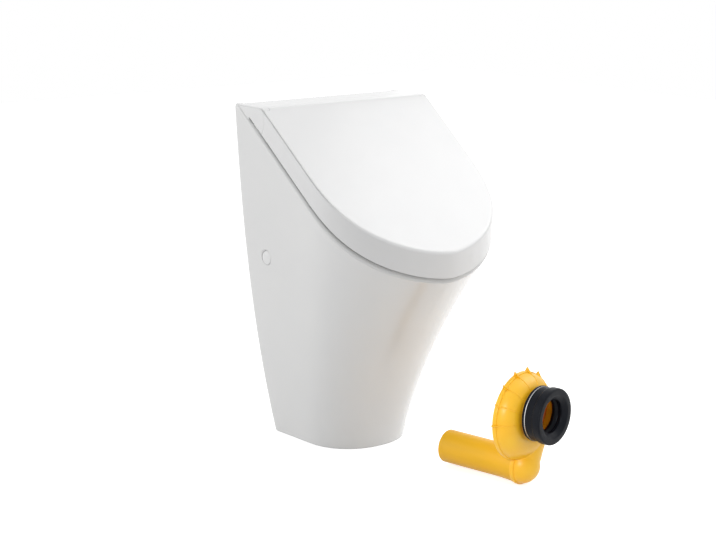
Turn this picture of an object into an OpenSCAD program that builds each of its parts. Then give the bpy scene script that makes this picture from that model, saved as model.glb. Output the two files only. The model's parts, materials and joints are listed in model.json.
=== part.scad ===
// Wall urinal in glazed china with a soft-closing lid, and its horizontal siphon trap beside it.
// Origin: middle of the wall plane, level with the flat base. X to the right, -Y away from the
// wall, Z up. All sizes are in millimetres.

/* [Ceramic body] */
// Width across the top
body_w = 330; // [310:1:370]
// Height at the wall
body_h = 533; // [515:1:600]
// Projection from the wall to the lid's front
body_d = 320; // [300:1:345]
// Width of the flat base
base_w = 175; // [165:1:200]
// Depth of the flat base
base_d = 168; // [155:1:185]
// Thickness of the china walls
china_t = 14; // [12:1:15]
// Width of the rim's flat top
rim_w = 26; // [23:1:30]
// Radius on the rim's outer edge
rim_r = 6; // [3:0.5:8]
// How far the rim's front stays back from the lid's front
rim_back = 5; // [2:0.5:8]
// Slope of the rim and the lid, from level
rim_slope = 38.3; // [34:0.1:40]
// Distance from the wall at which the sloping rim reaches the top
rim_start = 13; // [10:1:18]
// Height of the bowl's floor above the base
sump_z = 130; // [120:1:145]
// Height of the outlet above the base
outlet_z = 155; // [150:1:165]
// Outside diameter of the outlet spigot
spigot_d = 50; // [46:1:52]
// Bore of the outlet spigot
spigot_bore = 40; // [34:1:42]
// Length of the outlet spigot
spigot_len = 26; // [20:1:30]
// Depth of the water inlet below the top
inlet_drop = 103; // [95:1:112]
// Bore for the water inlet in the china
inlet_bore = 35; // [30:1:38]

/* [Lid] */
// Vertical height of the lid's skirt
skirt_h = 39.5; // [34:0.5:44]
// Upright gap between the rim and the skirt
lid_gap = 5.5; // [4:0.5:7]
// Thickness of the skirt
skirt_t = 4.5; // [3.5:0.5:6]
// Thickness of the lid's top plate
plate_t = 5; // [4:0.5:6]
// Radius on the lid's top edge
lid_r = 4; // [2:0.5:6]
// Gap between the lid and the wall
lid_rear = 4; // [3:0.5:6]
// Diameter of the rubber buffers
buffer_d = 10; // [8:0.5:11]

/* [Hinge] */
// Distance of the hinge axis from the wall
axis_y = 38; // [37:0.5:41]
// Depth of the hinge axis below the top
axis_drop = 18; // [16:0.5:18.5]
// Diameter of the hinge pins
pin_d = 10; // [8:0.5:11]
// Running clearance round the hinge pins
pin_gap = 0.06; // [0.04:0.01:0.1]
// Radius of the fixed hinge covers about the hinge axis
cover_r = 39; // [38.6:0.1:40]
// Width of each hinge cover across the rim
cover_w = 14.5; // [13:0.5:16]
// Width of each hinge bracket's knuckle
knuckle_w = 22; // [18:1:26]
// Width of each lug under the lid
lug_w = 24; // [18:1:28]
// Diameter of the bolts that hold the hinges
hinge_bolt_d = 8; // [6:1:10]
// Diameter of the soft-closing dampers
damper_d = 24; // [20:1:26]
// Length of the soft-closing dampers
damper_l = 9; // [7:0.5:10]

/* [Wall fixing] */
// Distance of the side screws from the wall
side_y = 55; // [48:1:60]
// Depth of the side screws below the top
side_drop = 233; // [215:1:250]
// Diameter of the cover caps
cap_d = 23; // [20:1:26]
// Diameter of the side screws
side_screw_d = 8; // [6:1:10]
// Diameter of the holes for the wall screws
wall_hole_d = 9; // [7:0.5:11]
// Thickness of the steel wall brackets
bracket_t = 4; // [3:0.5:5]
// Distance of the wall screws from the inside of the china
wall_hole_in = 26; // [22:1:30]

/* [Water inlet] */
// Outside diameter of the inlet pipe
inlet_pipe_d = 20.9; // [18:0.1:24]
// Distance of the inlet pipe's free end from the wall
inlet_end = 6; // [2:1:12]

/* [Siphon trap] */
// Outside diameter of the outlet pipe
pipe_d = 50; // [46:1:54]
// Wall thickness of the plastic
trap_t = 3; // [2.5:0.5:4]
// Length of the outlet pipe behind the seam
pipe_len = 138; // [90:1:160]
// Radius of the ring, to the middle of its tube
ring_r = 39; // [36:0.5:41]
// Outside diameter of the ring's tube
tube_d = 51; // [47:1:53]
// Depth of the ring behind the seam
rear_depth = 10; // [8:0.5:14]
// Depth of the outlet pipe's middle below the ring's middle
pipe_drop = 78; // [72:1:84]
// Sideways place of the outlet pipe from the ring's middle
pipe_shift = 8; // [0:1:14]
// Outside diameter of the sleeve's front rim
sleeve_d = 84; // [80:1:90]
// Length of the rubber sleeve
sleeve_len = 31; // [29:1:40]
// Height of the sleeve's middle above the ring's middle
collar_up = 10; // [0:1:12]
// Number of fins round the ring
fin_count = 7; // [4:1:9]
// Sideways place of the trap from the urinal's middle
trap_x = 38; // [-60:1:120]
// Distance of the trap's seam from the wall
trap_y = 432; // [420:1:560]
// Turn of the trap about its upright
trap_turn = 10; // [0:1:30]

/* [Hidden] */

$fn = 64;
slack = 0.3;
cut = 1;

// Plan outlines
side_len = 0.525 * body_d;
taper = 0.04;
lid_nx = 1.63;
lid_ny = 3.0;
base_n = 2.2;
side_steps = 9;
arc_steps = 16;

// Heights and slopes
rise = tan(rim_slope);
skirt_y = rim_start + lid_gap / rise;
fold_y = skirt_y + skirt_h / rise;
fold_soft = 3;
axis_z = body_h - axis_drop;
inlet_z = body_h - inlet_drop;
side_z = body_h - side_drop;
shelf_z = body_h - axis_drop - cover_r - 1;
shelf_front = rim_start + (body_h - shelf_z) / rise + 2;
bowl_rear = shelf_front + china_t - 4;
cover_in = body_w / 2 - cover_w;
shelf_half = cover_in + 0.5;
lid_half = cover_in - 0.5;
back_y = bowl_rear - china_t;
low_y = back_y + 12;

// Hinge stack across the width
knuckle_out = cover_in;
knuckle_in = knuckle_out - knuckle_w;
lug_out = knuckle_in - 0.5;
lug_in = lug_out - lug_w;
knuckle_r = axis_drop - plate_t - 1;
damper_end = knuckle_out + damper_l + slack;
post_rear = axis_y + 12;
post_front = post_rear + 20;
bolt_x = knuckle_in - 14;
bolt_y = (post_rear + post_front) / 2 + 2;
foot_t = 6;

// Trap levels
tube_r = tube_d / 2;
pipe_r = pipe_d / 2;
bulb_r = pipe_r + 2;
seam_out = 1.5;
seam_t = 7;
trap_z = pipe_drop + bulb_r + seam_out;
collar_r = 32;
collar_end = 36;
sleeve_start = collar_end - 6;

function plan_x(y, half, depth) = half * (1 - taper * y / depth);

// Places along the straight side, with some of them gathered about a fold
fold_steps = [-5, -1.5, 1.5, 5];
function side_y(i, rear, straight, fold) =
    fold == 0 ? rear + (straight - rear) * i / side_steps
    : i < 3 ? rear + (fold + fold_steps[0] - rear) * i / 3
    : i < 7 ? fold + fold_steps[i - 3]
    : fold + fold_steps[3] + (straight - fold - fold_steps[3]) * (i - 6) / (side_steps - 6);

// Half of a plan outline, from the wall at the left to the middle of the front
function plan_half(half, depth, straight, nx, ny, rear, fold = 0) = concat(
    [for (i = [0 : side_steps - 1])
        let (y = side_y(i, rear, straight, fold)) [-plan_x(y, half, depth), -y]],
    [for (i = [0 : arc_steps])
        let (a = 90 * i / arc_steps,
             y = straight + (depth - straight) * pow(sin(a), 2 / ny))
        [-plan_x(y, half, depth) * pow(max(0, cos(a)), 2 / nx), -y]]);

function mirror_half(h) = concat(h, [for (i = [len(h) - 2 : -1 : 0]) [-h[i][0], h[i][1]]]);

function lid_plan(inset, rear = 0) = mirror_half(plan_half(
    body_w / 2 - inset, body_d - inset, side_len, lid_nx, lid_ny, rear, fold_y));

function rim_plan(inset) = mirror_half(plan_half(
    body_w / 2 - inset, body_d - rim_back - inset, side_len, lid_nx, lid_ny, 0));

base_plan = mirror_half(plan_half(
    base_w / 2, base_d, side_len * base_d / body_d, base_n, base_n, 0));

// Height of the rim plane, of the lid's smooth upper face, and of its skirt's lower edge
function rim_z(y) = min(body_h, body_h + (y + rim_start) * rise);
function lid_z(y) = let (d = -y - fold_y)
    body_h - rise * (d + sqrt(d * d + fold_soft * fold_soft)) / 2;
function skirt_z(y) = -y > axis_y + 14 ? rim_z(y) + lid_gap : lid_z(y) - skirt_h;

// Shares of the way from the base outline to the rim outline
function side_share(s) = 1 - 0.46 * (1 - s) - 0.54 * pow(1 - s, 2.48);
function front_share(s) = pow(s, 1.63);
function share(s, y) = let (m = pow(-y / body_d, 1.26))
    side_share(s) * (1 - m) + front_share(s) * m;

function blend(a, b, k) = a + (b - a) * k;

// A closed skin through loops that are mirrored about x = 0, with strips across both ends
module loft(rows) {
    n = len(rows[0]);
    last = len(rows) - 1;
    skin = [for (r = [0 : last - 1]) for (i = [0 : n - 1])
        let (j = (i + 1) % n, a = r * n + i, b = r * n + j, c = a + n, d = b + n)
        each [[a, c, b], [b, c, d]]];
    low = [for (i = [0 : floor(n / 2) - 1])
        let (a = i, b = i + 1, c = n - 2 - i, d = n - 1 - i)
        each (b == c ? [[a, b, d]] : b > c ? [] : [[a, b, c], [a, c, d]])];
    high = [for (f = low) [f[2] + last * n, f[1] + last * n, f[0] + last * n]];
    polyhedron(points = [for (r = rows) each r], faces = concat(low, skin, high), convexity = 6);
}

// Outer skin of the china: straight up by columns, then round the rim's edge
body_rows = 14;
edge_rows = 4;
module china_skin() {
    top = rim_plan(0);
    lift = [for (k = [0 : body_rows])
        let (s = k / body_rows)
        [for (i = [0 : len(top) - 1])
            let (g = share(s, top[i][1]))
            [blend(base_plan[i][0], top[i][0], g), blend(base_plan[i][1], top[i][1], g),
             (rim_z(top[i][1]) - rim_r) * s]]];
    edge = [for (k = [1 : edge_rows])
        let (a = 90 * k / edge_rows, loop = rim_plan(rim_r * (1 - cos(a))))
        [for (p = loop) [p[0], p[1], rim_z(p[1]) - rim_r * (1 - sin(a))]]];
    loft(concat(lift, edge));
}

// Plan of the bowl's mouth and of its floor, as one family of ovals about the line y = -side_len
oval_steps = 40;
mouth_half = body_w / 2 - rim_w;
mouth_front = body_d - rim_back - rim_w + 5;
floor_half = 48;
floor_front = base_d + 20;
floor_rear = bowl_rear + 26;
floor_mid = (floor_front + floor_rear) / 2;
mouth_r = 8;

function oval(half, rear, mid, front, nx, ny, n_rear) = [for (i = [0 : oval_steps - 1])
    let (a = 90 + 360 * (i + 0.5) / oval_steps, c = cos(a), s = sin(a), u = s < 0)
    [half * sign(c) * pow(abs(c), 2 / (u ? nx : n_rear)),
     u ? -mid - (front - mid) * pow(abs(s), 2 / ny)
       : -mid + (mid - rear) * pow(abs(s), 2 / n_rear)]];

function mouth_plan(inset) = oval(mouth_half - inset, bowl_rear + inset, side_len,
    mouth_front - inset, lid_nx + 0.2, lid_ny - 0.2, 6);
floor_plan = oval(floor_half, floor_rear, floor_mid, floor_front, 2, 2, 2.4);

bowl_rows = 10;
module bowl_hollow() {
    mouth = mouth_plan(0);
    above = [for (p = mouth_plan(-mouth_r)) [p[0], p[1], body_h + 20]];
    flare = [for (k = [0 : 3])
        let (a = 90 * k / 3)
        [for (p = mouth_plan(-mouth_r * (1 - sin(a))))
            [p[0], p[1], rim_z(p[1]) + 0.5 - (mouth_r + 0.5) * (1 - cos(a))]]];
    sink = [for (k = [1 : bowl_rows])
        let (s = k / bowl_rows)
        [for (i = [0 : oval_steps - 1])
            let (p = mouth[i], q = floor_plan[i],
                 m = max(0, min(1, (-p[1] - bowl_rear) / (mouth_front - bowl_rear))),
                 g = blend(1 - sqrt(1 - s * s), pow(s, 1.1), pow(m, 2)))
            [blend(p[0], q[0], g), blend(p[1], q[1], g),
             blend(rim_z(p[1]) - mouth_r, sump_z, s)]]];
    rows = concat([above], flare, sink);
    loft([for (i = [len(rows) - 1 : -1 : 0]) rows[i]]);
}

// Half-width of the china at the wall
function wall_half(z) = blend(base_w / 2, body_w / 2, side_share(z / body_h));

// Space behind the bowl, open to the wall and deeper at the outlet so that the trap goes in, and
// the hollow foot under the bowl
flange_w = 18;
back_top = shelf_z - china_t;
foot_top = sump_z - china_t;
module back_hollow() {
    levels = [[foot_top - 2, low_y], [200, low_y], [280, back_y], [380, back_y],
              [back_top, back_y]];
    loft([for (p = levels) let (z = p[0], d = p[1], w = wall_half(z) - flange_w)
        [[-w, cut, z], [-w, -d + 14, z], [-w + 14, -d, z],
         [w - 14, -d, z], [w, -d + 14, z], [w, cut, z]]]);
    foot_levels = [china_t, (china_t + foot_top) / 2, foot_top];
    loft([for (z = foot_levels)
        let (s = z / rim_z(-body_d), w = wall_half(z) - flange_w,
             d = blend(base_d, body_d - rim_back, front_share(s)) - china_t - 2)
        [[-w, cut, z], [-w, -d * 0.45, z], [-w * 0.85, -d * 0.72, z], [-w * 0.5, -d * 0.93, z],
         [0, -d, z], [w * 0.5, -d * 0.93, z], [w * 0.85, -d * 0.72, z], [w, -d * 0.45, z],
         [w, cut, z]]]);
}

// Level pocket under the hinge, open to the wall and to the rim
module hinge_pocket() {
    corner = 10;
    h = body_h - shelf_z + cut;
    translate([-shelf_half, -shelf_front + corner, shelf_z])
        cube([2 * shelf_half, shelf_front - corner + cut, h]);
    translate([-shelf_half + corner, -shelf_front, shelf_z])
        cube([2 * (shelf_half - corner), corner + cut, h]);
    for (side = [-1, 1])
        translate([side * (shelf_half - corner), -shelf_front + corner, shelf_z])
            cylinder(r = corner, h = h);
}

module ceramic_bowl() {
    color("white") difference() {
        union() {
            difference() {
                china_skin();
                back_hollow();
            }
            translate([0, -low_y - cut, outlet_z]) rotate([-90, 0, 0])
                cylinder(d = spigot_d, h = spigot_len + cut);
        }
        bowl_hollow();
        hinge_pocket();
        for (side = [-1, 1]) {
            from = side > 0 ? shelf_half - cut : -damper_end - slack;
            rod_x(from, from + damper_end + slack + cut - shelf_half, damper_d / 2 + slack);
        }
        translate([0, -floor_rear - 14, outlet_z]) rotate([-90, 0, 0])
            cylinder(d = spigot_bore, h = floor_rear + 14 - low_y + spigot_len + cut);
        translate([0, -bowl_rear - 6, inlet_z]) rotate([-90, 0, 0])
            cylinder(d = inlet_bore, h = china_t + 12);
        for (side = [-1, 1]) {
            translate([side * bolt_x, -bolt_y, shelf_z - china_t - cut])
                cylinder(d = hinge_bolt_d + 4, h = china_t + 2 * cut);
            translate([side * (wall_half(side_z) + 6), -side_y, side_z])
                rotate([0, -90 * side, 0]) side_hole();
        }
    }
}

// Stepped hole through the side wall: a seat for the cap, then the bush
cap_seat = 12;
bush_d = 17;
module side_hole() {
    cylinder(d = cap_d, h = cap_seat);
    cylinder(d = bush_d, h = flange_w + 14);
}

// Solid inside the lid's outer skin, down to the skirt's lower edge
lid_edge_rows = 3;
module lid_skin() {
    plan = lid_plan(0, lid_rear);
    foot = [for (p = plan) [p[0], p[1], skirt_z(p[1])]];
    edge = [for (k = [0 : lid_edge_rows])
        let (a = 90 * k / lid_edge_rows, t = lid_r * (1 - cos(a)))
        [for (p = lid_plan(t, lid_rear + t)) [p[0], p[1], lid_z(p[1]) - lid_r * (1 - sin(a))]]];
    loft(concat([foot], edge));
}

module lid_hollow() {
    plan = lid_plan(skirt_t, lid_rear + skirt_t);
    loft([[for (p = plan) [p[0], p[1], lid_z(p[1]) - skirt_h - 2 * cut]],
          [for (p = plan) [p[0], p[1], lid_z(p[1]) - plate_t]]]);
}

module along_x(from, to) {
    translate([from, 0, 0]) rotate([0, 90, 0]) linear_extrude(to - from) children();
}

module at_axis() {
    translate([0, -axis_y, axis_z]) children();
}

module rod_x(from, to, r) {
    at_axis() translate([from, 0, 0]) rotate([0, 90, 0]) cylinder(r = r, h = to - from);
}

// Places on the rim's middle line where the buffers stand, and their upright on the slope
buffer_line = rim_plan(rim_w / 2 - 2);
buffer_at = [side_steps - 1, side_steps + 12];
module on_rim(i, side) {
    p = buffer_line[i];
    translate([side * abs(p[0]), p[1], rim_z(p[1])]) rotate([rim_slope, 0, 0]) children();
}

module lid() {
    lug_z = axis_drop - plate_t + 1;
    color("white") difference() {
        union() {
            difference() {
                lid_skin();
                lid_hollow();
                for (side = [-1, 1]) {
                    rod_x(side > 0 ? lid_half : -body_w, side > 0 ? body_w : -lid_half,
                          cover_r + 0.4);
                    translate([side > 0 ? lid_half : -body_w, -axis_y, axis_z - 60])
                        cube([body_w - lid_half, axis_y + cut, 100]);
                }
                translate([-body_w / 2, -lid_rear - skirt_t - cut, body_h - skirt_h - 2 * cut])
                    cube([body_w, skirt_t + 2 * cut, skirt_h - plate_t - 8]);
                for (side = [-1, 1])
                    translate([side > 0 ? lug_in - 10 : -body_w, -lid_rear - skirt_t - cut,
                               body_h - skirt_h - cut])
                        cube([body_w - lug_in + 10, skirt_t + 2 * cut, skirt_h - plate_t + cut]);
            }
            for (side = [-1, 1]) {
                from = side > 0 ? lug_in : -lug_out;
                rod_x(from, from + lug_w, knuckle_r);
                at_axis() translate([from, -knuckle_r, 0])
                    cube([lug_w, 2 * knuckle_r, lug_z]);
            }
            intersection() {
                lid_skin();
                for (side = [-1, 1]) for (i = buffer_at) on_rim(i, side)
                    translate([0, 0, lid_gap * cos(rim_slope) + 2])
                        cylinder(d = buffer_d, h = (skirt_h - plate_t) * cos(rim_slope) - 1);
            }
        }
        for (side = [-1, 1]) {
            from = side > 0 ? lug_in : -lug_out;
            rod_x(from - cut, from + lug_w + cut, pin_d / 2);
        }
    }
}

module lid_buffers() {
    color("gainsboro") for (side = [-1, 1]) for (i = buffer_at) on_rim(i, side)
        translate([0, 0, slack])
            cylinder(d = buffer_d, h = lid_gap * cos(rim_slope) + 2 - slack);
}

// Knuckle that carries the pin, on a post and a foot bolted to the china shelf
module hinge_bracket(side) {
    color("silver") mirror([side < 0 ? 1 : 0, 0, 0]) difference() {
        union() {
            rod_x(knuckle_in, knuckle_out, knuckle_r);
            along_x(knuckle_in, knuckle_out - 1.5) rotate(90) polygon([
                [-post_rear, shelf_z + slack],
                [-post_front, shelf_z + slack],
                [-post_front, shelf_z + 24],
                [-axis_y - knuckle_r * sin(40), axis_z + knuckle_r * cos(40)],
                [-axis_y, axis_z],
                [-axis_y - knuckle_r * cos(60), axis_z - knuckle_r * sin(60)],
                [-post_rear, axis_z - 24]]);
            translate([bolt_x - 15, -post_front - 4, shelf_z + slack])
                cube([knuckle_out - 1.5 - bolt_x + 15, post_front - post_rear + 4, foot_t]);
        }
        rod_x(knuckle_in - cut, knuckle_out + cut, pin_d / 2 + pin_gap);
        translate([bolt_x, -bolt_y, shelf_z - cut])
            cylinder(d = hinge_bolt_d + 1, h = foot_t + 3 * cut);
    }
}

module hinge_bracket_left() { hinge_bracket(-1); }
module hinge_bracket_right() { hinge_bracket(1); }

// Fixed cover at the end of the hinge, flush with the lid, with a foot on the rim
cover_foot = axis_y + 2;
module hinge_cover(side) {
    color("white") mirror([side < 0 ? 1 : 0, 0, 0]) difference() {
        intersection() {
            lid_skin();
            rod_x(cover_in, body_w, cover_r);
        }
        along_x(0, body_w) rotate(90) polygon([
            [cut, body_h + slack + (rim_start + cut) * rise],
            [-body_d, rim_z(-body_d) + slack * 1.3],
            [-body_d, 0], [cut, 0]]);
        along_x(0, body_w) rotate(90) polygon([
            [-cover_foot, rim_z(-cover_foot)],
            [-cover_foot, rim_z(-cover_foot) + lid_gap],
            [-body_d, rim_z(-body_d) + lid_gap],
            [-body_d, 0]]);
        rod_x(cover_in - cut, cover_in + damper_l + slack, damper_d / 2 + slack);
    }
}

module hinge_cover_left() { hinge_cover(-1); }
module hinge_cover_right() { hinge_cover(1); }

// Pin that turns with the lid, with a flat-sided end in the damper
module hinge_pin(side) {
    color("silver") mirror([side < 0 ? 1 : 0, 0, 0]) {
        rod_x(lug_in + 2, knuckle_out, pin_d / 2);
        rod_x(knuckle_out, knuckle_out + damper_l - 2, pin_d / 2 - 1.5);
    }
}

module hinge_pin_left() { hinge_pin(-1); }
module hinge_pin_right() { hinge_pin(1); }

module damper(side) {
    color("dimgray") mirror([side < 0 ? 1 : 0, 0, 0]) difference() {
        union() {
            rod_x(knuckle_out + slack, knuckle_out + damper_l, damper_d / 2);
            rod_x(knuckle_out + damper_l, knuckle_out + damper_l + slack - 0.1, damper_d / 2 - 4);
        }
        rod_x(knuckle_out, knuckle_out + damper_l - 1.5, pin_d / 2 - 1.5 + pin_gap);
    }
}

module soft_close_damper_left() { damper(-1); }
module soft_close_damper_right() { damper(1); }

// Bolt, rubber seat, washer and nut of each hinge
module each_bolt() {
    for (side = [-1, 1]) translate([side * bolt_x, -bolt_y, 0]) children();
}

washer_t = 2;
nut_t = 6.5;
seat_t = 3;
module hinge_bolts() {
    color("silver") each_bolt() {
        translate([0, 0, shelf_z + slack + foot_t]) difference() {
            cylinder(d = 1.6 * hinge_bolt_d, h = 5);
            translate([0, 0, 2]) cylinder(d = 5.8, h = 4, $fn = 6);
        }
        translate([0, 0, shelf_z - china_t - seat_t - washer_t - nut_t - 4])
            cylinder(d = hinge_bolt_d, h = china_t + seat_t + washer_t + nut_t + foot_t + 5);
    }
}

module hinge_seats() {
    color("black") each_bolt() translate([0, 0, shelf_z - china_t - seat_t]) difference() {
        union() {
            cylinder(d = 2.6 * hinge_bolt_d, h = seat_t);
            cylinder(d = hinge_bolt_d + 3.6, h = seat_t + china_t - 1);
        }
        translate([0, 0, -cut]) cylinder(d = hinge_bolt_d + 0.2, h = china_t + seat_t + 2);
    }
}

module hinge_washers() {
    color("silver") each_bolt() translate([0, 0, shelf_z - china_t - seat_t - washer_t])
        difference() {
            cylinder(d = 2.4 * hinge_bolt_d, h = washer_t);
            translate([0, 0, -cut]) cylinder(d = hinge_bolt_d + 0.4, h = washer_t + 2 * cut);
        }
}

module hinge_nuts() {
    color("silver") each_bolt()
        translate([0, 0, shelf_z - china_t - seat_t - washer_t - nut_t]) difference() {
            cylinder(d = 1.9 * hinge_bolt_d, h = nut_t, $fn = 6);
            translate([0, 0, -cut]) cylinder(d = hinge_bolt_d, h = nut_t + 2 * cut);
        }
}

// Side fixings, drawn on the right side, pointing from the outside in along -X
cap_x = wall_half(side_z) - 0.5;
bush_x = wall_half(side_z) + 6 - cap_seat;
bracket_w = 36;
inner_x = wall_half(side_z - bracket_w / 2 - 2) - flange_w;
module each_side() {
    for (side = [0, 1]) mirror([side, 0, 0]) translate([0, -side_y, side_z]) children();
}

module toward_middle(x) {
    translate([x, 0, 0]) rotate([0, -90, 0]) children();
}

module side_cover_caps() {
    color("white") each_side() toward_middle(cap_x) {
        cylinder(d = cap_d - 0.6, h = 1.6);
        difference() {
            cylinder(d = cap_d - 0.6, h = cap_x - bush_x);
            translate([0, 0, 1.6]) cylinder(d = cap_d - 5, h = cap_x);
        }
    }
}

module side_bushes() {
    color("gainsboro") each_side() toward_middle(bush_x) difference() {
        cylinder(d = bush_d - 0.4, h = bush_x - inner_x);
        translate([0, 0, -cut]) cylinder(d = side_screw_d + 0.4, h = bush_x);
    }
}

module side_screws() {
    head = 4;
    color("silver") each_side() toward_middle(bush_x + head - 1.5) {
        difference() {
            cylinder(d = 1.55 * side_screw_d, h = head - 1.5);
            translate([0, 0, -cut]) cylinder(d = 5, h = 2, $fn = 6);
        }
        cylinder(d = side_screw_d, h = bush_x - inner_x + bracket_t + 12);
    }
}

// Steel angle: one leg flat on the wall, one along the inside of the china
module wall_bracket(side) {
    leg = side_y + 13;
    reach = wall_hole_in + 16;
    w = bracket_w;
    color("silver") mirror([side < 0 ? 1 : 0, 0, 0]) translate([0, 0, side_z - w / 2])
        difference() {
            union() {
                translate([inner_x - slack - bracket_t, -leg, 0]) cube([bracket_t, leg, w]);
                translate([inner_x - slack - reach, -bracket_t, 0]) cube([reach, bracket_t, w]);
            }
            translate([wall_hole_x, cut, w / 2]) rotate([90, 0, 0])
                cylinder(d = wall_hole_d, h = bracket_t + 2 * cut);
            translate([inner_x, -side_y, w / 2]) rotate([0, -90, 0])
                cylinder(d = side_screw_d + 0.2, h = bracket_t + 2 * cut);
        }
}

wall_hole_x = inner_x - wall_hole_in;
module wall_bracket_left() { wall_bracket(-1); }
module wall_bracket_right() { wall_bracket(1); }

// Water inlet, drawn along +Y from inside the bowl
module toward_wall(y, z) {
    translate([0, -y, z]) rotate([-90, 0, 0]) children();
}

// Thread under the nut, wider than the plain pipe so that the nut goes over it
thread_d = inlet_pipe_d + 2;
thread_end = back_y - 17;
module water_inlet_pipe() {
    start = bowl_rear + 4;
    color("gainsboro") toward_wall(start, inlet_z) difference() {
        union() {
            cylinder(d = inlet_pipe_d, h = start - inlet_end);
            cylinder(d = thread_d, h = start - thread_end);
            cylinder(d = inlet_bore - 1, h = china_t + 2);
        }
        translate([0, 0, -cut]) cylinder(d = inlet_pipe_d - 5, h = start + 2 * cut);
    }
}

module inlet_seal() {
    color("black") toward_wall(back_y, inlet_z) difference() {
        cylinder(d = inlet_bore + 14, h = 4);
        translate([0, 0, -cut]) cylinder(d = thread_d + 0.4, h = 6);
    }
}

module inlet_nut() {
    color("gainsboro") toward_wall(back_y - 4, inlet_z) difference() {
        union() {
            cylinder(d = inlet_bore + 10, h = 3);
            cylinder(d = inlet_bore + 2, h = 11, $fn = 8);
        }
        translate([0, 0, -cut]) cylinder(d = thread_d + 0.1, h = 13);
    }
}

// Hood that turns the water down over the bowl's rear wall
module water_spreader() {
    hood_d = inlet_bore + 16;
    color("white") toward_wall(bowl_rear + 4 + 12, inlet_z) difference() {
        union() {
            cylinder(d1 = hood_d - 12, d2 = hood_d, h = 5);
            translate([0, 0, 5]) cylinder(d = hood_d, h = 10.5);
        }
        translate([0, 0, 3]) cylinder(d = hood_d - 5, h = 14);
        for (a = [20 : 20 : 160]) rotate(a) translate([hood_d / 2 - 6, 0, 9])
            rotate([0, 90, 0]) cylinder(d = 3.4, h = 12);
    }
}

module outlet_strainer() {
    depth = 3;
    d = spigot_bore - 0.6;
    color("silver") toward_wall(floor_rear - 10, outlet_z) difference() {
        union() {
            cylinder(d = d, h = depth);
            difference() {
                cylinder(d = d, h = 12);
                translate([0, 0, -cut]) cylinder(d = d - 3, h = 14);
            }
        }
        translate([0, 0, -cut]) cylinder(d = 6, h = depth + 2 * cut);
        for (a = [0 : 60 : 300]) rotate(a) translate([11, 0, -cut])
            cylinder(d = 6, h = depth + 2 * cut);
    }
}

// The trap's own frame: the ring's middle, with the seam in the plane y = 0
module in_trap() {
    translate([trap_x, -trap_y, trap_z]) rotate([0, 0, trap_turn]) children();
}

// Water loop, thinned by a margin all over: the ring, the slanting drop from its right side, and
// the bulb at the bottom that feeds the outlet pipe
drop_from = [ring_r * cos(24), -ring_r * sin(24)];
drop_to = [pipe_shift, -pipe_drop];
drop_len = norm(drop_to - drop_from);
drop_tilt = atan2(drop_from[0] - drop_to[0], drop_from[1] - drop_to[1]);
drop_r = tube_r - 1;
module water_loop(less) {
    rotate([90, 0, 0]) rotate_extrude() translate([ring_r, 0]) circle(r = tube_r - less);
    translate([drop_to[0], 0, drop_to[1]]) rotate([0, drop_tilt, 0])
        cylinder(r = drop_r - less, h = drop_len);
    translate([drop_to[0], 0, drop_to[1]]) sphere(r = bulb_r - less);
}

// The same loop, flatter behind the seam
module rear_loop(less) {
    scale([1, (rear_depth - less) / (tube_r - less), 1]) water_loop(less);
}

// Plate that follows the loop's outline as seen from the front, a margin proud of it
module seam_plate(from, to) {
    translate([0, to, 0]) rotate([90, 0, 0]) linear_extrude(to - from) {
        circle(r = ring_r + tube_r + seam_out);
        translate(drop_to) circle(r = bulb_r + seam_out);
        translate(drop_to) rotate(-drop_tilt)
            translate([-drop_r - seam_out, 0]) square([2 * (drop_r + seam_out), drop_len]);
    }
}

// Thin fins across the ring's tube, each ending in a point at the seam
fin_t = 2;
fin_first = 29;
fin_step = 176 / fin_count;
module fins() {
    r = tube_r + 0.9;
    for (i = [0 : fin_count - 1]) rotate([0, -fin_first - i * fin_step, 0])
        translate([ring_r, 0, -fin_t / 2]) linear_extrude(fin_t) polygon(concat(
            [[tube_r + 8, 0]], [for (a = [24 : 24 : 336]) [r * cos(a), r * sin(a)]]));
}

// The collar's own axis, towards the front
module at_collar() {
    translate([0, 0, collar_up]) rotate([90, 0, 0]) children();
}

module trap_half(front) {
    translate([-200, front ? -200 : 0, -200]) cube([400, 200, 400]);
}

module trap_front_shell() {
    color("gold") in_trap() difference() {
        intersection() {
            union() {
                water_loop(0);
                seam_plate(-seam_t / 2, 0);
                fins();
                at_collar() cylinder(r = collar_r, h = collar_end);
            }
            trap_half(true);
        }
        water_loop(trap_t);
        at_collar() translate([0, 0, -cut])
            cylinder(r = collar_r - trap_t, h = collar_end + 2 * cut);
    }
}

module trap_rear_shell() {
    color("gold") in_trap() difference() {
        intersection() {
            union() {
                rear_loop(0);
                seam_plate(0, seam_t / 2);
                scale([1, rear_depth / tube_r, 1]) fins();
                rotate([-90, 0, 0]) cylinder(r = ring_r, h = 6);
                pipe_socket(bulb_r, socket_end);
            }
            trap_half(false);
        }
        difference() {
            rear_loop(trap_t);
            rotate([-90, 0, 0]) cylinder(r = 14, h = 6);
        }
        pipe_socket(pipe_r - trap_t, 20);
        pipe_socket(pipe_r - slack, pipe_len + 20, pipe_in);
        pipe_socket(pipe_r, pipe_len + 20, socket_end);
    }
}

// Outlet pipe, with a slimmer end in its socket
pipe_in = 6;
socket_end = 14;
module pipe_socket(r, h, from = 0) {
    translate([pipe_shift, from, -pipe_drop]) rotate([-90, 0, 0]) cylinder(r = r, h = h);
}

module trap_outlet_pipe() {
    color("goldenrod") in_trap() difference() {
        union() {
            pipe_socket(pipe_r - slack, pipe_len - pipe_in, pipe_in);
            pipe_socket(pipe_r, pipe_len - socket_end, socket_end);
        }
        pipe_socket(pipe_r - trap_t, pipe_len + 2 * cut, -cut);
    }
}

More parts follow.
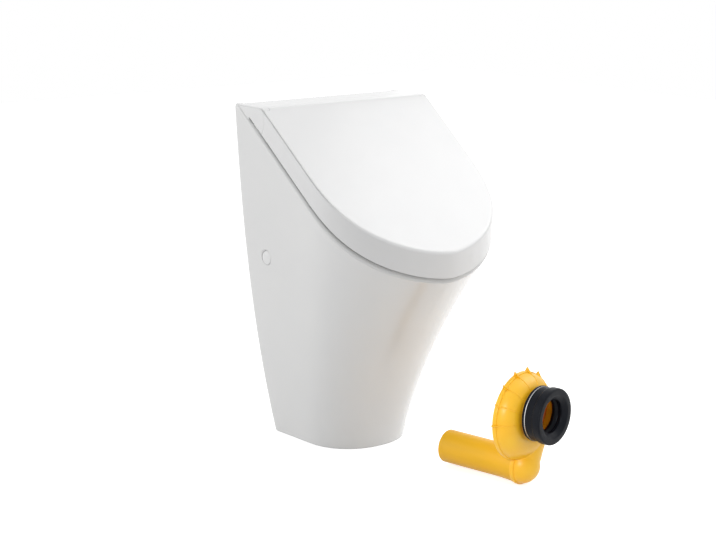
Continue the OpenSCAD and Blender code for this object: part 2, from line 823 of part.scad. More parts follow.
// Cone inside the collar that leads the water into the ring
module trap_baffle() {
    color("orange") in_trap() at_collar() translate([0, 0, 6]) difference() {
        cylinder(r = collar_r - trap_t - 0.1, h = 20);
        translate([0, 0, 3]) cylinder(r1 = 14, r2 = collar_r - trap_t - 2, h = 17 + cut);
        translate([0, -16, -cut]) cylinder(r = 8, h = 6);
    }
}

module trap_clamp_ring() {
    color("silver") in_trap() at_collar() translate([0, 0, sleeve_start + 4.5])
        difference() {
            cylinder(r = sleeve_d / 2 - 1.6, h = 1);
            translate([0, 0, -cut]) cylinder(r = sleeve_d / 2 - 3, h = 1 + 2 * cut);
        }
}

// Rubber sleeve: rear flange, barrel, thicker front rim, and stepped lips inside
sleeve_r = collar_r + 0.1;
module trap_inlet_sleeve() {
    r = sleeve_d / 2;
    color("black") in_trap() at_collar() translate([0, 0, sleeve_start])
        rotate_extrude() polygon([
            [sleeve_r, 0], [r - 2, 0], [r - 1, 1], [r - 1, 4], [r - 1.6, 4.5],
            [r - 3, 4.5], [r - 3, 5.5], [r - 1.8, 5.5], [r - 1.6, 6.5],
            [r - 2.4, sleeve_len - 15], [r - 2.2, sleeve_len - 13.5],
            [r - 0.4, sleeve_len - 12.5], [r, sleeve_len - 11.5], [r, sleeve_len - 2],
            [r - 2, sleeve_len], [31, sleeve_len], [25.4, sleeve_len - 5],
            [24.6, sleeve_len - 9], [28, sleeve_len - 12], [28, sleeve_len - 15],
            [24.4, sleeve_len - 18], [24.4, sleeve_len - 21],
            [27, collar_end - sleeve_start], [sleeve_r, collar_end - sleeve_start]]);
}

ceramic_bowl();
lid();
lid_buffers();
hinge_bracket_left();
hinge_bracket_right();
hinge_cover_left();
hinge_cover_right();
hinge_pin_left();
hinge_pin_right();
soft_close_damper_left();
soft_close_damper_right();
hinge_bolts();
hinge_seats();
hinge_washers();
hinge_nuts();
side_cover_caps();
side_screws();
side_bushes();
wall_bracket_left();
wall_bracket_right();
water_inlet_pipe();
inlet_seal();
inlet_nut();
water_spreader();
outlet_strainer();
trap_front_shell();
trap_rear_shell();
trap_outlet_pipe();
trap_baffle();
trap_clamp_ring();
trap_inlet_sleeve();
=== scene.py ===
"""Blender scene for a wall urinal with a soft-closing lid and its siphon trap.

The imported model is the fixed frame. The china, the lid, its hinge covers, the side caps and the
trap's shells, sleeve and pipe are built again here with finer surfaces, in millimetres, and scaled
to metres when they are done. Every other node keeps its CAD shape and gets a better material.
"""

import json
import logging
import math
from dataclasses import dataclass, field
from enum import Enum
from typing import Callable, Iterable, Sequence

import bmesh
import bpy
from mathutils import Matrix, Vector

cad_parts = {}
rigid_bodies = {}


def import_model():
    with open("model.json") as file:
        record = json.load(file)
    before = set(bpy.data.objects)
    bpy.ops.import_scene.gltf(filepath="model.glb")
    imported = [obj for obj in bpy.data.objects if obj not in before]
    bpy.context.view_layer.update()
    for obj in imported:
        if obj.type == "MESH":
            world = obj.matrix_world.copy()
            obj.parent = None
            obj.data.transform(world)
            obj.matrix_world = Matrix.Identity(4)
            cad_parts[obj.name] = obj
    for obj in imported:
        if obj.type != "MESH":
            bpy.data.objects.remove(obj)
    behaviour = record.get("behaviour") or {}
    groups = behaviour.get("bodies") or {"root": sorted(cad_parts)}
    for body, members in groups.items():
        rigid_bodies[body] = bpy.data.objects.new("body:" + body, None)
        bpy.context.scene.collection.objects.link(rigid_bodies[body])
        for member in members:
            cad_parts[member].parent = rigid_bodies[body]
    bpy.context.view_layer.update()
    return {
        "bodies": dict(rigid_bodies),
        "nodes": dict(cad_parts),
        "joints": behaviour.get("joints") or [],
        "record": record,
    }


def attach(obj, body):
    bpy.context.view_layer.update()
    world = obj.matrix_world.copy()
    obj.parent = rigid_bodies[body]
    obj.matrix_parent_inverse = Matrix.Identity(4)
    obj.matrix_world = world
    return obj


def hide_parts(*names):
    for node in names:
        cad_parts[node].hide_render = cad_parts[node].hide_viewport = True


LOG = logging.getLogger("urinal")
MM = 0.001
SIDES = (-1, 1)
# How far a cut reaches past the face that it goes through
OVER = 1.0
Point = tuple[float, float, float]
Flat = tuple[float, float]


class Join(Enum):
    """Ways to combine two closed pieces."""

    UNITE = "UNION"
    CUT = "DIFFERENCE"
    KEEP = "INTERSECT"


class Axis(Enum):
    """Directions along which rods and turned pieces run."""

    X = "X"
    Y = "Y"
    Z = "Z"

    def turn(self) -> Matrix:
        """Gives the rotation that lays +Z along this axis.

        Returns:
            A 4 by 4 rotation matrix.
        """
        if self is Axis.X:
            return Matrix.Rotation(math.pi / 2, 4, "Y")
        if self is Axis.Y:
            return Matrix.Rotation(-math.pi / 2, 4, "X")
        return Matrix.Identity(4)


def mix(a: float, b: float, share: float) -> float:
    """Blends two numbers.

    Args:
        a: The value at share 0.
        b: The value at share 1.
        share: The share of the way from a to b.

    Returns:
        The blended value.
    """
    return a + (b - a) * share


def quarter(steps: int, first: int = 0) -> list[Flat]:
    """Follows a quarter circle, for rounded edges and corners.

    Args:
        steps: Number of steps in the whole quarter.
        first: The step to start from.

    Returns:
        One less the cosine, and one less the sine, at each step.
    """
    angles = [math.pi / 2 * k / steps for k in range(first, steps + 1)]
    return [(1 - math.cos(a), 1 - math.sin(a)) for a in angles]


def start_of(side: int, inner: float, outer: float) -> float:
    """Gives where a stretch across the width starts along X, on either side.

    Args:
        side: -1 for the left side, 1 for the right side.
        inner: Distance of its inner end from the middle.
        outer: Distance of its outer end from the middle.

    Returns:
        The lower of its two ends along X.
    """
    return inner if side > 0 else -outer


def link(name: str, data: bpy.types.ID) -> bpy.types.Object:
    """Makes an object of a mesh, light or camera and links it to the scene."""
    obj = bpy.data.objects.new(name, data)
    bpy.context.scene.collection.objects.link(obj)
    return obj


def discard(obj: bpy.types.Object) -> None:
    """Removes a short-lived object with its mesh."""
    mesh = obj.data
    bpy.data.objects.remove(obj)
    bpy.data.meshes.remove(mesh)


@dataclass(frozen=True)
class Sizes:
    """Sizes of the urinal in millimetres. Those that the CAD source has too are the same there."""

    body_w: float = 330.0
    body_h: float = 533.0
    body_d: float = 320.0
    base_w: float = 175.0
    base_d: float = 168.0
    china_t: float = 14.0
    rim_w: float = 26.0
    rim_r: float = 6.0
    rim_back: float = 5.0
    rim_slope: float = 38.3
    rim_start: float = 13.0
    mouth_r: float = 8.0
    sump_z: float = 130.0
    outlet_z: float = 155.0
    spigot_d: float = 50.0
    spigot_bore: float = 40.0
    spigot_len: float = 26.0
    inlet_z: float = 430.0
    inlet_bore: float = 35.0
    skirt_h: float = 39.5
    lid_gap: float = 5.5
    skirt_t: float = 4.5
    plate_t: float = 5.0
    lid_r: float = 4.0
    lid_rear: float = 4.0
    fold_soft: float = 3.0
    line_deep: float = 1.6
    line_rear: float = 12.0
    line_grow: float = 10.0
    line_end: float = 262.0
    line_fade: float = 60.0
    lip_r: float = 1.0
    lid_in_r: float = 3.0
    buffer_d: float = 10.0
    axis_y: float = 38.0
    axis_drop: float = 18.0
    pin_d: float = 10.0
    cover_r: float = 39.0
    cover_w: float = 14.5
    knuckle_w: float = 22.0
    lug_w: float = 24.0
    bolt_d: float = 8.0
    damper_d: float = 24.0
    damper_l: float = 9.0
    side_y: float = 55.0
    side_z: float = 300.0
    cap_d: float = 23.0
    cap_seat: float = 12.0
    bush_d: float = 17.0
    seat_out: float = 6.0
    corner_r: float = 9.0
    foot_r: float = 3.0
    flange_w: float = 18.0
    back_r: float = 14.0
    pocket_r: float = 10.0
    floor_half: float = 48.0
    slack: float = 0.3

    @property
    def rise(self) -> float:
        """Rise of the sloping rim for each millimetre of depth."""
        return math.tan(math.radians(self.rim_slope))

    @property
    def fold_y(self) -> float:
        """Distance of the lid's fold from the wall."""
        return self.rim_start + (self.lid_gap + self.skirt_h) / self.rise

    @property
    def side_len(self) -> float:
        """Depth over which the sides run nearly straight."""
        return 0.525 * self.body_d

    @property
    def axis_z(self) -> float:
        """Height of the hinge axis."""
        return self.body_h - self.axis_drop

    @property
    def shelf_z(self) -> float:
        """Height of the shelf under the hinge."""
        return self.axis_z - self.cover_r - 1

    @property
    def shelf_front(self) -> float:
        """Depth of the pocket under the hinge."""
        return self.rim_start + (self.body_h - self.shelf_z) / self.rise + 2

    @property
    def bowl_rear(self) -> float:
        """Distance of the bowl's rear wall from the wall plane."""
        return self.shelf_front + self.china_t - 4

    @property
    def back_y(self) -> float:
        """Depth of the space behind the bowl."""
        return self.bowl_rear - self.china_t

    @property
    def low_y(self) -> float:
        """Depth of the space behind the outlet."""
        return self.back_y + 12

    @property
    def cover_in(self) -> float:
        """Inner side of the hinge covers."""
        return self.body_w / 2 - self.cover_w

    @property
    def shelf_half(self) -> float:
        """Half of the pocket's width."""
        return self.cover_in + 0.5

    @property
    def lug_out(self) -> float:
        """Outer side of the lid's lugs."""
        return self.cover_in - self.knuckle_w - 0.5

    @property
    def lug_in(self) -> float:
        """Inner side of the lid's lugs."""
        return self.lug_out - self.lug_w

    @property
    def knuckle_r(self) -> float:
        """Radius of the lugs about the hinge axis."""
        return self.axis_drop - self.plate_t - 1

    @property
    def bolt_x(self) -> float:
        """Distance of the hinge bolts from the middle."""
        return self.lug_out + 0.5 - 14

    @property
    def bolt_y(self) -> float:
        """Distance of the hinge bolts from the wall."""
        return self.axis_y + 24

    @property
    def floor_rear(self) -> float:
        """Distance of the bowl's floor from the wall plane."""
        return self.bowl_rear + 26

    @property
    def mouth_front(self) -> float:
        """Distance of the front of the bowl's mouth from the wall plane."""
        return self.body_d - self.rim_back - self.rim_w + 5

    def rim_z(self, y: float) -> float:
        """Gives the height of the rim's plane.

        Args:
            y: Place along the depth, negative away from the wall.

        Returns:
            The height there.
        """
        return min(self.body_h, self.body_h + (y + self.rim_start) * self.rise)

    def lid_z(self, y: float) -> float:
        """Gives the height of the lid's upper face, level to its fold and then sloping.

        Args:
            y: Place along the depth, negative away from the wall.

        Returns:
            The height there.
        """
        d = -y - self.fold_y
        return self.body_h - self.rise * (d + math.hypot(d, self.fold_soft)) / 2

    def line_depth(self, y: float) -> float:
        """Gives the depth of the fine line along the lid's edge, from the fold forwards.

        Args:
            y: Place along the depth, negative away from the wall.

        Returns:
            The depth there, which fades out towards the front.
        """
        start = min(1.0, max(0.0, (-y - self.fold_y + self.line_rear) / self.line_grow))
        end = min(1.0, max(0.0, (self.line_end + y) / self.line_fade))
        return self.line_deep * start * end * end * (3 - 2 * end)

    def skirt_z(self, y: float) -> float:
        """Gives the height of the skirt's lower edge, an even gap above the rim.

        Args:
            y: Place along the depth, negative away from the wall.

        Returns:
            The height there.
        """
        if -y > self.axis_y + 14:
            return self.rim_z(y) + self.lid_gap
        return self.lid_z(y) - self.skirt_h

    def wall_half(self, z: float) -> float:
        """Gives the half-width of the china at the wall.

        Args:
            z: Height above the base.

        Returns:
            The half-width there.
        """
        return mix(self.base_w / 2, self.body_w / 2, Outline.side_share(z / self.body_h))


class Outline:
    """Plan outlines of the china and the lid, from the left rear round the front to the right."""

    SIDE = 22
    ARC = 44
    CORNER = 6
    TAPER = 0.04
    LID = (1.63, 3.0)
    BASE = (2.2, 2.2)
    SIDE_SHARES = (0.46, 0.54)
    SIDE_POWER = 2.48
    FRONT_POWER = 1.63
    DEPTH_POWER = 1.26
    FOLD_STEPS = (-9.0, -5.0, -3.0, -1.5, 0.0, 1.5, 3.0, 5.0)
    BEFORE_FOLD = 5

    def __init__(self, sizes: Sizes) -> None:
        """Keeps the sizes that the outlines follow.

        Args:
            sizes: The urinal's sizes.
        """
        self.s = sizes

    @classmethod
    def side_share(cls, s: float) -> float:
        """Gives the share of the way from the base to the rim at the sides."""
        even, curved = cls.SIDE_SHARES
        return 1 - even * (1 - s) - curved * max(0.0, 1 - s) ** cls.SIDE_POWER

    @classmethod
    def front_share(cls, s: float) -> float:
        """Gives the share of the way from the base to the rim at the front."""
        return max(0.0, s) ** cls.FRONT_POWER

    def share(self, s: float, y: float) -> float:
        """Blends the shares of the sides and the front.

        Args:
            s: Share of the height, from 0 at the base to 1 at the rim.
            y: Place along the depth of the rim's outline.

        Returns:
            The share of the way from the base outline to the rim outline.
        """
        m = max(0.0, -y / self.s.body_d) ** self.DEPTH_POWER
        return mix(self.side_share(s), self.front_share(s), m)

    def side_places(self, start: float, straight: float, fold: float) -> list[float]:
        """Spreads the places along the straight side, some of them close about a fold.

        Args:
            start: Where the side starts.
            straight: Depth at which the front's curve begins.
            fold: Distance of the fold from the wall, or 0 for none.

        Returns:
            The places, one for each step along the side.
        """
        if not fold:
            return [mix(start, straight, k / self.SIDE) for k in range(self.SIDE)]
        near = [fold + step for step in self.FOLD_STEPS]
        before = [mix(start, near[0], k / self.BEFORE_FOLD) for k in range(self.BEFORE_FOLD)]
        rest = self.SIDE - len(before) - len(near)
        after = [mix(near[-1], straight, (k + 1) / (rest + 1)) for k in range(rest)]
        return before + near + after

    def half(self, half: float, depth: float, straight: float, power: Flat, rear: float,
             corner: float, fold: float = 0.0) -> list[Flat]:
        """Draws the left half of an outline, with a rounded corner at its rear.

        Args:
            half: Half of the width at the wall.
            depth: Distance of the front from the wall.
            straight: Depth at which the front's curve begins.
            power: The two powers of the front's curve.
            rear: Distance of the rear edge from the wall.
            corner: Radius of the rear corner.
            fold: Distance of a fold from the wall, or 0 for none.

        Returns:
            Points from the rear to the middle of the front.
        """
        def width(y: float) -> float:
            """Gives the half-width at a distance from the wall."""
            return half * (1 - self.TAPER * y / depth)

        points = []
        for along, inward in quarter(self.CORNER)[:-1]:
            y = rear + corner * along
            points.append((-(width(y) - corner * inward), -y))
        points += [(-width(y), -y) for y in self.side_places(rear + corner, straight, fold)]
        for k in range(self.ARC + 1):
            a = math.pi / 2 * k / self.ARC
            y = straight + (depth - straight) * math.sin(a) ** (2 / power[1])
            points.append((-width(y) * max(0.0, math.cos(a)) ** (2 / power[0]), -y))
        return points

    @staticmethod
    def whole(half: list[Flat]) -> list[Flat]:
        """Adds the mirror image of a left half.

        Args:
            half: Points from the rear to the middle of the front.

        Returns:
            The whole outline, mirrored about x = 0.
        """
        return half + [(-x, y) for x, y in reversed(half[:-1])]

    def lid(self, inset: float, rear: float) -> list[Flat]:
        """Draws the lid's outline, moved in by a distance and starting at a rear edge."""
        s = self.s
        corner = max(0.5, s.corner_r - inset)
        return self.whole(self.half(s.body_w / 2 - inset, s.body_d - inset, s.side_len,
                                    self.LID, rear, corner, s.fold_y))

    def rim(self, inset: float) -> list[Flat]:
        """Draws the rim's outline, moved in by a distance except at the wall."""
        s = self.s
        corner = max(0.5, s.corner_r - inset)
        return self.whole(self.half(s.body_w / 2 - inset, s.body_d - s.rim_back - inset,
                                    s.side_len, self.LID, 0.0, corner))

    def base(self, inset: float) -> list[Flat]:
        """Draws the flat base's outline, moved in by a distance except at the wall."""
        s = self.s
        return self.whole(self.half(s.base_w / 2 - inset, s.base_d - inset,
                                    s.side_len * s.base_d / s.body_d, self.BASE, 0.0,
                                    s.corner_r))


class Workpiece:
    """A closed form in millimetres that turns into one Blender object in metres."""

    NEAR = 1e-4
    WELD = 0.002

    def __init__(self, name: str) -> None:
        """Starts with nothing.

        Args:
            name: Name of the finished object.
        """
        self.name = name
        self.bm = bmesh.new()

    def ring(self, points: Sequence[Point]) -> list[bmesh.types.BMVert]:
        """Makes a closed ring of vertices.

        Args:
            points: Places of the vertices, in order.

        Returns:
            The vertices, in the same order.
        """
        made = bmesh.ops.create_circle(self.bm, segments=len(points), radius=1.0)["verts"]
        for vert, point in zip(made, points):
            vert.co = point
        return made

    def grow(self, ring: list[bmesh.types.BMVert],
             points: Sequence[Point]) -> list[bmesh.types.BMVert]:
        """Draws the skin on from one ring to the next.

        Args:
            ring: The last ring.
            points: Places of the next ring's vertices.

        Returns:
            The next ring.
        """
        edges = [self.bm.edges.get((a, b)) for a, b in zip(ring, ring[1:] + ring[:1])]
        made = bmesh.ops.extrude_edge_only(self.bm, edges=edges)["geom"]
        fresh = {g for g in made if isinstance(g, bmesh.types.BMVert)}
        after = []
        for vert, point in zip(ring, points):
            pair = next(e.other_vert(vert) for e in vert.link_edges
                        if e.other_vert(vert) in fresh)
            pair.co = point
            after.append(pair)
        return after

    def cap(self, ring: list[bmesh.types.BMVert], strips: bool) -> None:
        """Closes a ring with one flat face or with strips from side to side.

        Args:
            ring: The ring to close.
            strips: True where the end is curved along the depth.
        """
        self.bm.faces.new(ring)
        if not strips:
            return
        n = len(ring)
        for i in range(1, n // 2):
            a, b = ring[i], ring[n - 1 - i]
            if self.bm.edges.get((a, b)) is None:
                face = next(f for f in a.link_faces if b in f.verts and len(f.verts) > 4)
                bmesh.utils.face_split(face, a, b)

    def loft(self, rows: Sequence[Sequence[Point]], first: bool, last: bool) -> "Workpiece":
        """Draws a closed skin through rows of points.

        Args:
            rows: The rings, all with the same number of points.
            first: True to close the first ring with strips.
            last: True to close the last ring with strips.

        Returns:
            This piece.
        """
        ring = self.ring(rows[0])
        start = ring
        for row in rows[1:]:
            ring = self.grow(ring, row)
        self.cap(start, first)
        self.cap(ring, last)
        bmesh.ops.recalc_face_normals(self.bm, faces=self.bm.faces)
        return self

    def pillar(self, place: Matrix, radius: float, length: float, steps: int,
               start: float = 0.0) -> "Workpiece":
        """Adds a rod that stands upright on a placed plane.

        Args:
            place: The plane's place and turn.
            radius: The rod's radius.
            length: Its length.
            steps: Number of sides.
            start: Distance of its foot from the plane.

        Returns:
            This piece.
        """
        middle = place @ Matrix.Translation((0, 0, start + length / 2))
        bmesh.ops.create_cone(self.bm, cap_ends=True, segments=steps, radius1=radius,
                              radius2=radius, depth=length, matrix=middle)
        return self

    def rod(self, at: Point, axis: Axis, radius: float, length: float,
            steps: int = 64) -> "Workpiece":
        """Adds a rod.

        Args:
            at: Middle of its first end.
            axis: The direction it runs in.
            radius: Its radius.
            length: Its length.
            steps: Number of sides.

        Returns:
            This piece.
        """
        return self.pillar(Matrix.Translation(at) @ axis.turn(), radius, length, steps)

    def block(self, low: Point, high: Point) -> "Workpiece":
        """Adds a block between two corners.

        Args:
            low: Its lowest corner.
            high: Its highest corner.

        Returns:
            This piece.
        """
        a, b = Vector(low), Vector(high)
        size = b - a
        place = Matrix.Translation((a + b) / 2) @ Matrix.Diagonal((*size, 1.0))
        bmesh.ops.create_cube(self.bm, size=1.0, matrix=place)
        return self

    def prism(self, outline: Sequence[Point], run: Point) -> "Workpiece":
        """Adds a prism.

        Args:
            outline: Corners of its first end.
            run: The way from its first end to its far end.

        Returns:
            This piece.
        """
        face = self.bm.faces.new([self.bm.verts.new(corner) for corner in outline])
        made = bmesh.ops.extrude_face_region(self.bm, geom=[face])["geom"]
        far = [g for g in made if isinstance(g, bmesh.types.BMVert)]
        bmesh.ops.translate(self.bm, verts=far, vec=run)
        bmesh.ops.recalc_face_normals(self.bm, faces=self.bm.faces)
        return self

    def prism_x(self, outline: Sequence[Flat], start: float, end: float) -> "Workpiece":
        """Adds a prism along X.

        Args:
            outline: Its outline as (y, z) points.
            start: Where it starts along X.
            end: Where it ends along X.

        Returns:
            This piece.
        """
        return self.prism([(start, y, z) for y, z in outline], (end - start, 0, 0))

    def lathe(self, profile: Sequence[Flat], at: Point, axis: Axis,
              steps: int = 96) -> "Workpiece":
        """Turns a closed profile about an axis.

        Args:
            profile: Its points as (radius, place along the axis).
            at: The zero point of the axis.
            axis: The direction the axis runs in.
            steps: Number of steps round.

        Returns:
            This piece.
        """
        work = bmesh.new()
        verts = [work.verts.new((r, 0, h)) for r, h in profile]
        edges = [work.edges.new(pair) for pair in zip(verts, verts[1:] + verts[:1])
                 if pair[0].co.x > 1e-6 or pair[1].co.x > 1e-6]
        bmesh.ops.spin(work, geom=verts + edges, cent=(0, 0, 0), axis=(0, 0, 1),
                       angle=2 * math.pi, steps=steps, use_merge=True)
        bmesh.ops.remove_doubles(work, verts=work.verts, dist=self.NEAR)
        bmesh.ops.recalc_face_normals(work, faces=work.faces)
        bmesh.ops.transform(work, matrix=Matrix.Translation(at) @ axis.turn(),
                            verts=work.verts)
        self.add(work)
        return self

    def add(self, other: bmesh.types.BMesh) -> None:
        """Puts another mesh beside what is here.

        Args:
            other: The mesh to add, which is used up.
        """
        mesh = bpy.data.meshes.new("part")
        other.to_mesh(mesh)
        other.free()
        self.bm.from_mesh(mesh)
        bpy.data.meshes.remove(mesh)

    def moved(self, place: Matrix) -> "Workpiece":
        """Moves, turns or stretches everything that is here."""
        bmesh.ops.transform(self.bm, matrix=place, verts=self.bm.verts)
        return self

    def sided(self, side: int, at: Point) -> "Workpiece":
        """Moves a form that is drawn for the right side to its place on either side.

        Args:
            side: -1 for the left side, 1 for the right side.
            at: Its place on that side.

        Returns:
            This piece.
        """
        self.moved(Matrix.Translation(at) @ Matrix.Diagonal((side, 1.0, 1.0, 1.0)))
        bmesh.ops.recalc_face_normals(self.bm, faces=self.bm.faces)
        return self

    def sharp_edges(self) -> list[bmesh.types.BMEdge]:
        """Lists the edges at which the form turns by about a right angle."""
        return [e for e in self.bm.edges if e.is_manifold and e.calc_face_angle() > 1.0]

    def bevel(self, edges: list[bmesh.types.BMEdge], offset: float, segments: int) -> None:
        """Rounds edges.

        Args:
            edges: The edges.
            offset: How far the rounding reaches.
            segments: Number of its steps.
        """
        bmesh.ops.bevel(self.bm, geom=edges, offset=offset, segments=segments, profile=0.5,
                        affect="EDGES", material=-1)

    def draft(self) -> bpy.types.Object:
        """Makes a short-lived object of the form, still in millimetres.

        Returns:
            The object, linked to the scene.
        """
        mesh = bpy.data.meshes.new("draft")
        bmesh.ops.triangulate(self.bm, faces=[f for f in self.bm.faces if len(f.verts) == 4],
                              quad_method="BEAUTY")
        self.bm.to_mesh(mesh)
        return link("draft", mesh)

    def take(self, obj: bpy.types.Object) -> None:
        """Takes on the form of an object with its modifiers, and removes the object.

        Args:
            obj: A short-lived object from draft().
        """
        bpy.context.view_layer.update()
        seen = obj.evaluated_get(bpy.context.evaluated_depsgraph_get())
        mesh = bpy.data.meshes.new_from_object(seen)
        self.bm.free()
        self.bm = bmesh.new()
        self.bm.from_mesh(mesh)
        discard(obj)
        bpy.data.meshes.remove(mesh)

    def combine(self, other: "Workpiece", how: Join) -> "Workpiece":
        """Joins, cuts or overlaps this form with another.

        Args:
            other: The other form, which is used up.
            how: The way to combine them.

        Returns:
            This piece.
        """
        mine, tool = self.draft(), other.draft()
        step = mine.modifiers.new("combine", "BOOLEAN")
        step.operation = how.value
        step.solver = "EXACT"
        step.use_self = False
        step.object = tool
        self.take(mine)
        discard(tool)
        other.bm.free()
        bmesh.ops.remove_doubles(self.bm, verts=self.bm.verts, dist=self.WELD)
        bmesh.ops.dissolve_degenerate(self.bm, edges=self.bm.edges, dist=self.WELD)
        return self

    def worked(self, steps: Iterable[tuple["Workpiece", Join]]) -> "Workpiece":
        """Combines this form with others, one after another.

        Args:
            steps: Each other form with the way to combine it.

        Returns:
            This piece.
        """
        for other, how in steps:
            self.combine(other, how)
        return self

    def melt(self, grain: float, rounds: int) -> "Workpiece":
        """Merges overlapping forms into one moulded skin with soft fillets.

        Args:
            grain: Size of the new mesh's cells.
            rounds: How often the skin is smoothed.

        Returns:
            This piece.
        """
        obj = self.draft()
        remesh = obj.modifiers.new("merge", "REMESH")
        remesh.mode = "VOXEL"
        remesh.voxel_size = grain
        remesh.adaptivity = 0.0
        smooth = obj.modifiers.new("soften", "SMOOTH")
        smooth.factor = 0.5
        smooth.iterations = rounds
        self.take(obj)
        return self

    def keep_side(self, normal: Point) -> "Workpiece":
        """Cuts the form at a plane through the zero point.

        Args:
            normal: The plane's normal, which points away from the side that is kept.

        Returns:
            This piece.
        """
        geom = list(self.bm.verts) + list(self.bm.edges) + list(self.bm.faces)
        bmesh.ops.bisect_plane(self.bm, geom=geom, dist=self.NEAR, plane_co=(0, 0, 0),
                               plane_no=normal, clear_outer=True)
        rim = [e for e in self.bm.edges if e.is_boundary]
        bmesh.ops.holes_fill(self.bm, edges=rim, sides=0)
        return self

    def finish(self, sharp: float = 32.0) -> bpy.types.Object:
        """Makes the finished object in metres, with smooth and sharp edges.

        Args:
            sharp: Angle in degrees above which an edge stays sharp.

        Returns:
            The finished object, linked to the scene.
        """
        bmesh.ops.recalc_face_normals(self.bm, faces=self.bm.faces)
        bmesh.ops.scale(self.bm, vec=(MM, MM, MM), verts=self.bm.verts)
        for face in self.bm.faces:
            face.smooth = True
        mesh = bpy.data.meshes.new(self.name)
        self.bm.to_mesh(mesh)
        self.bm.free()
        mesh.set_sharp_from_angle(angle=math.radians(sharp))
        obj = link(self.name, mesh)
        normals = obj.modifiers.new("shading", "WEIGHTED_NORMAL")
        normals.keep_sharp = True
        normals.weight = 60
        LOG.info("%s: %d faces", self.name, len(mesh.polygons))
        return obj


def soften(points: Sequence[Flat], rounds: int, share: float) -> list[Flat]:
    """Rounds the corners of a closed profile by cutting them off again and again.

    Args:
        points: The profile.
        rounds: How often the corners are cut.
        share: Share of each side that a cut takes.

    Returns:
        The softer profile.
    """
    loop = list(points)
    for _ in range(rounds):
        cut = []
        for (ax, ay), (bx, by) in zip(loop, loop[1:] + loop[:1]):
            cut.append((mix(ax, bx, share), mix(ay, by, share)))
            cut.append((mix(ax, bx, 1 - share), mix(ay, by, 1 - share)))
        loop = cut
    return loop


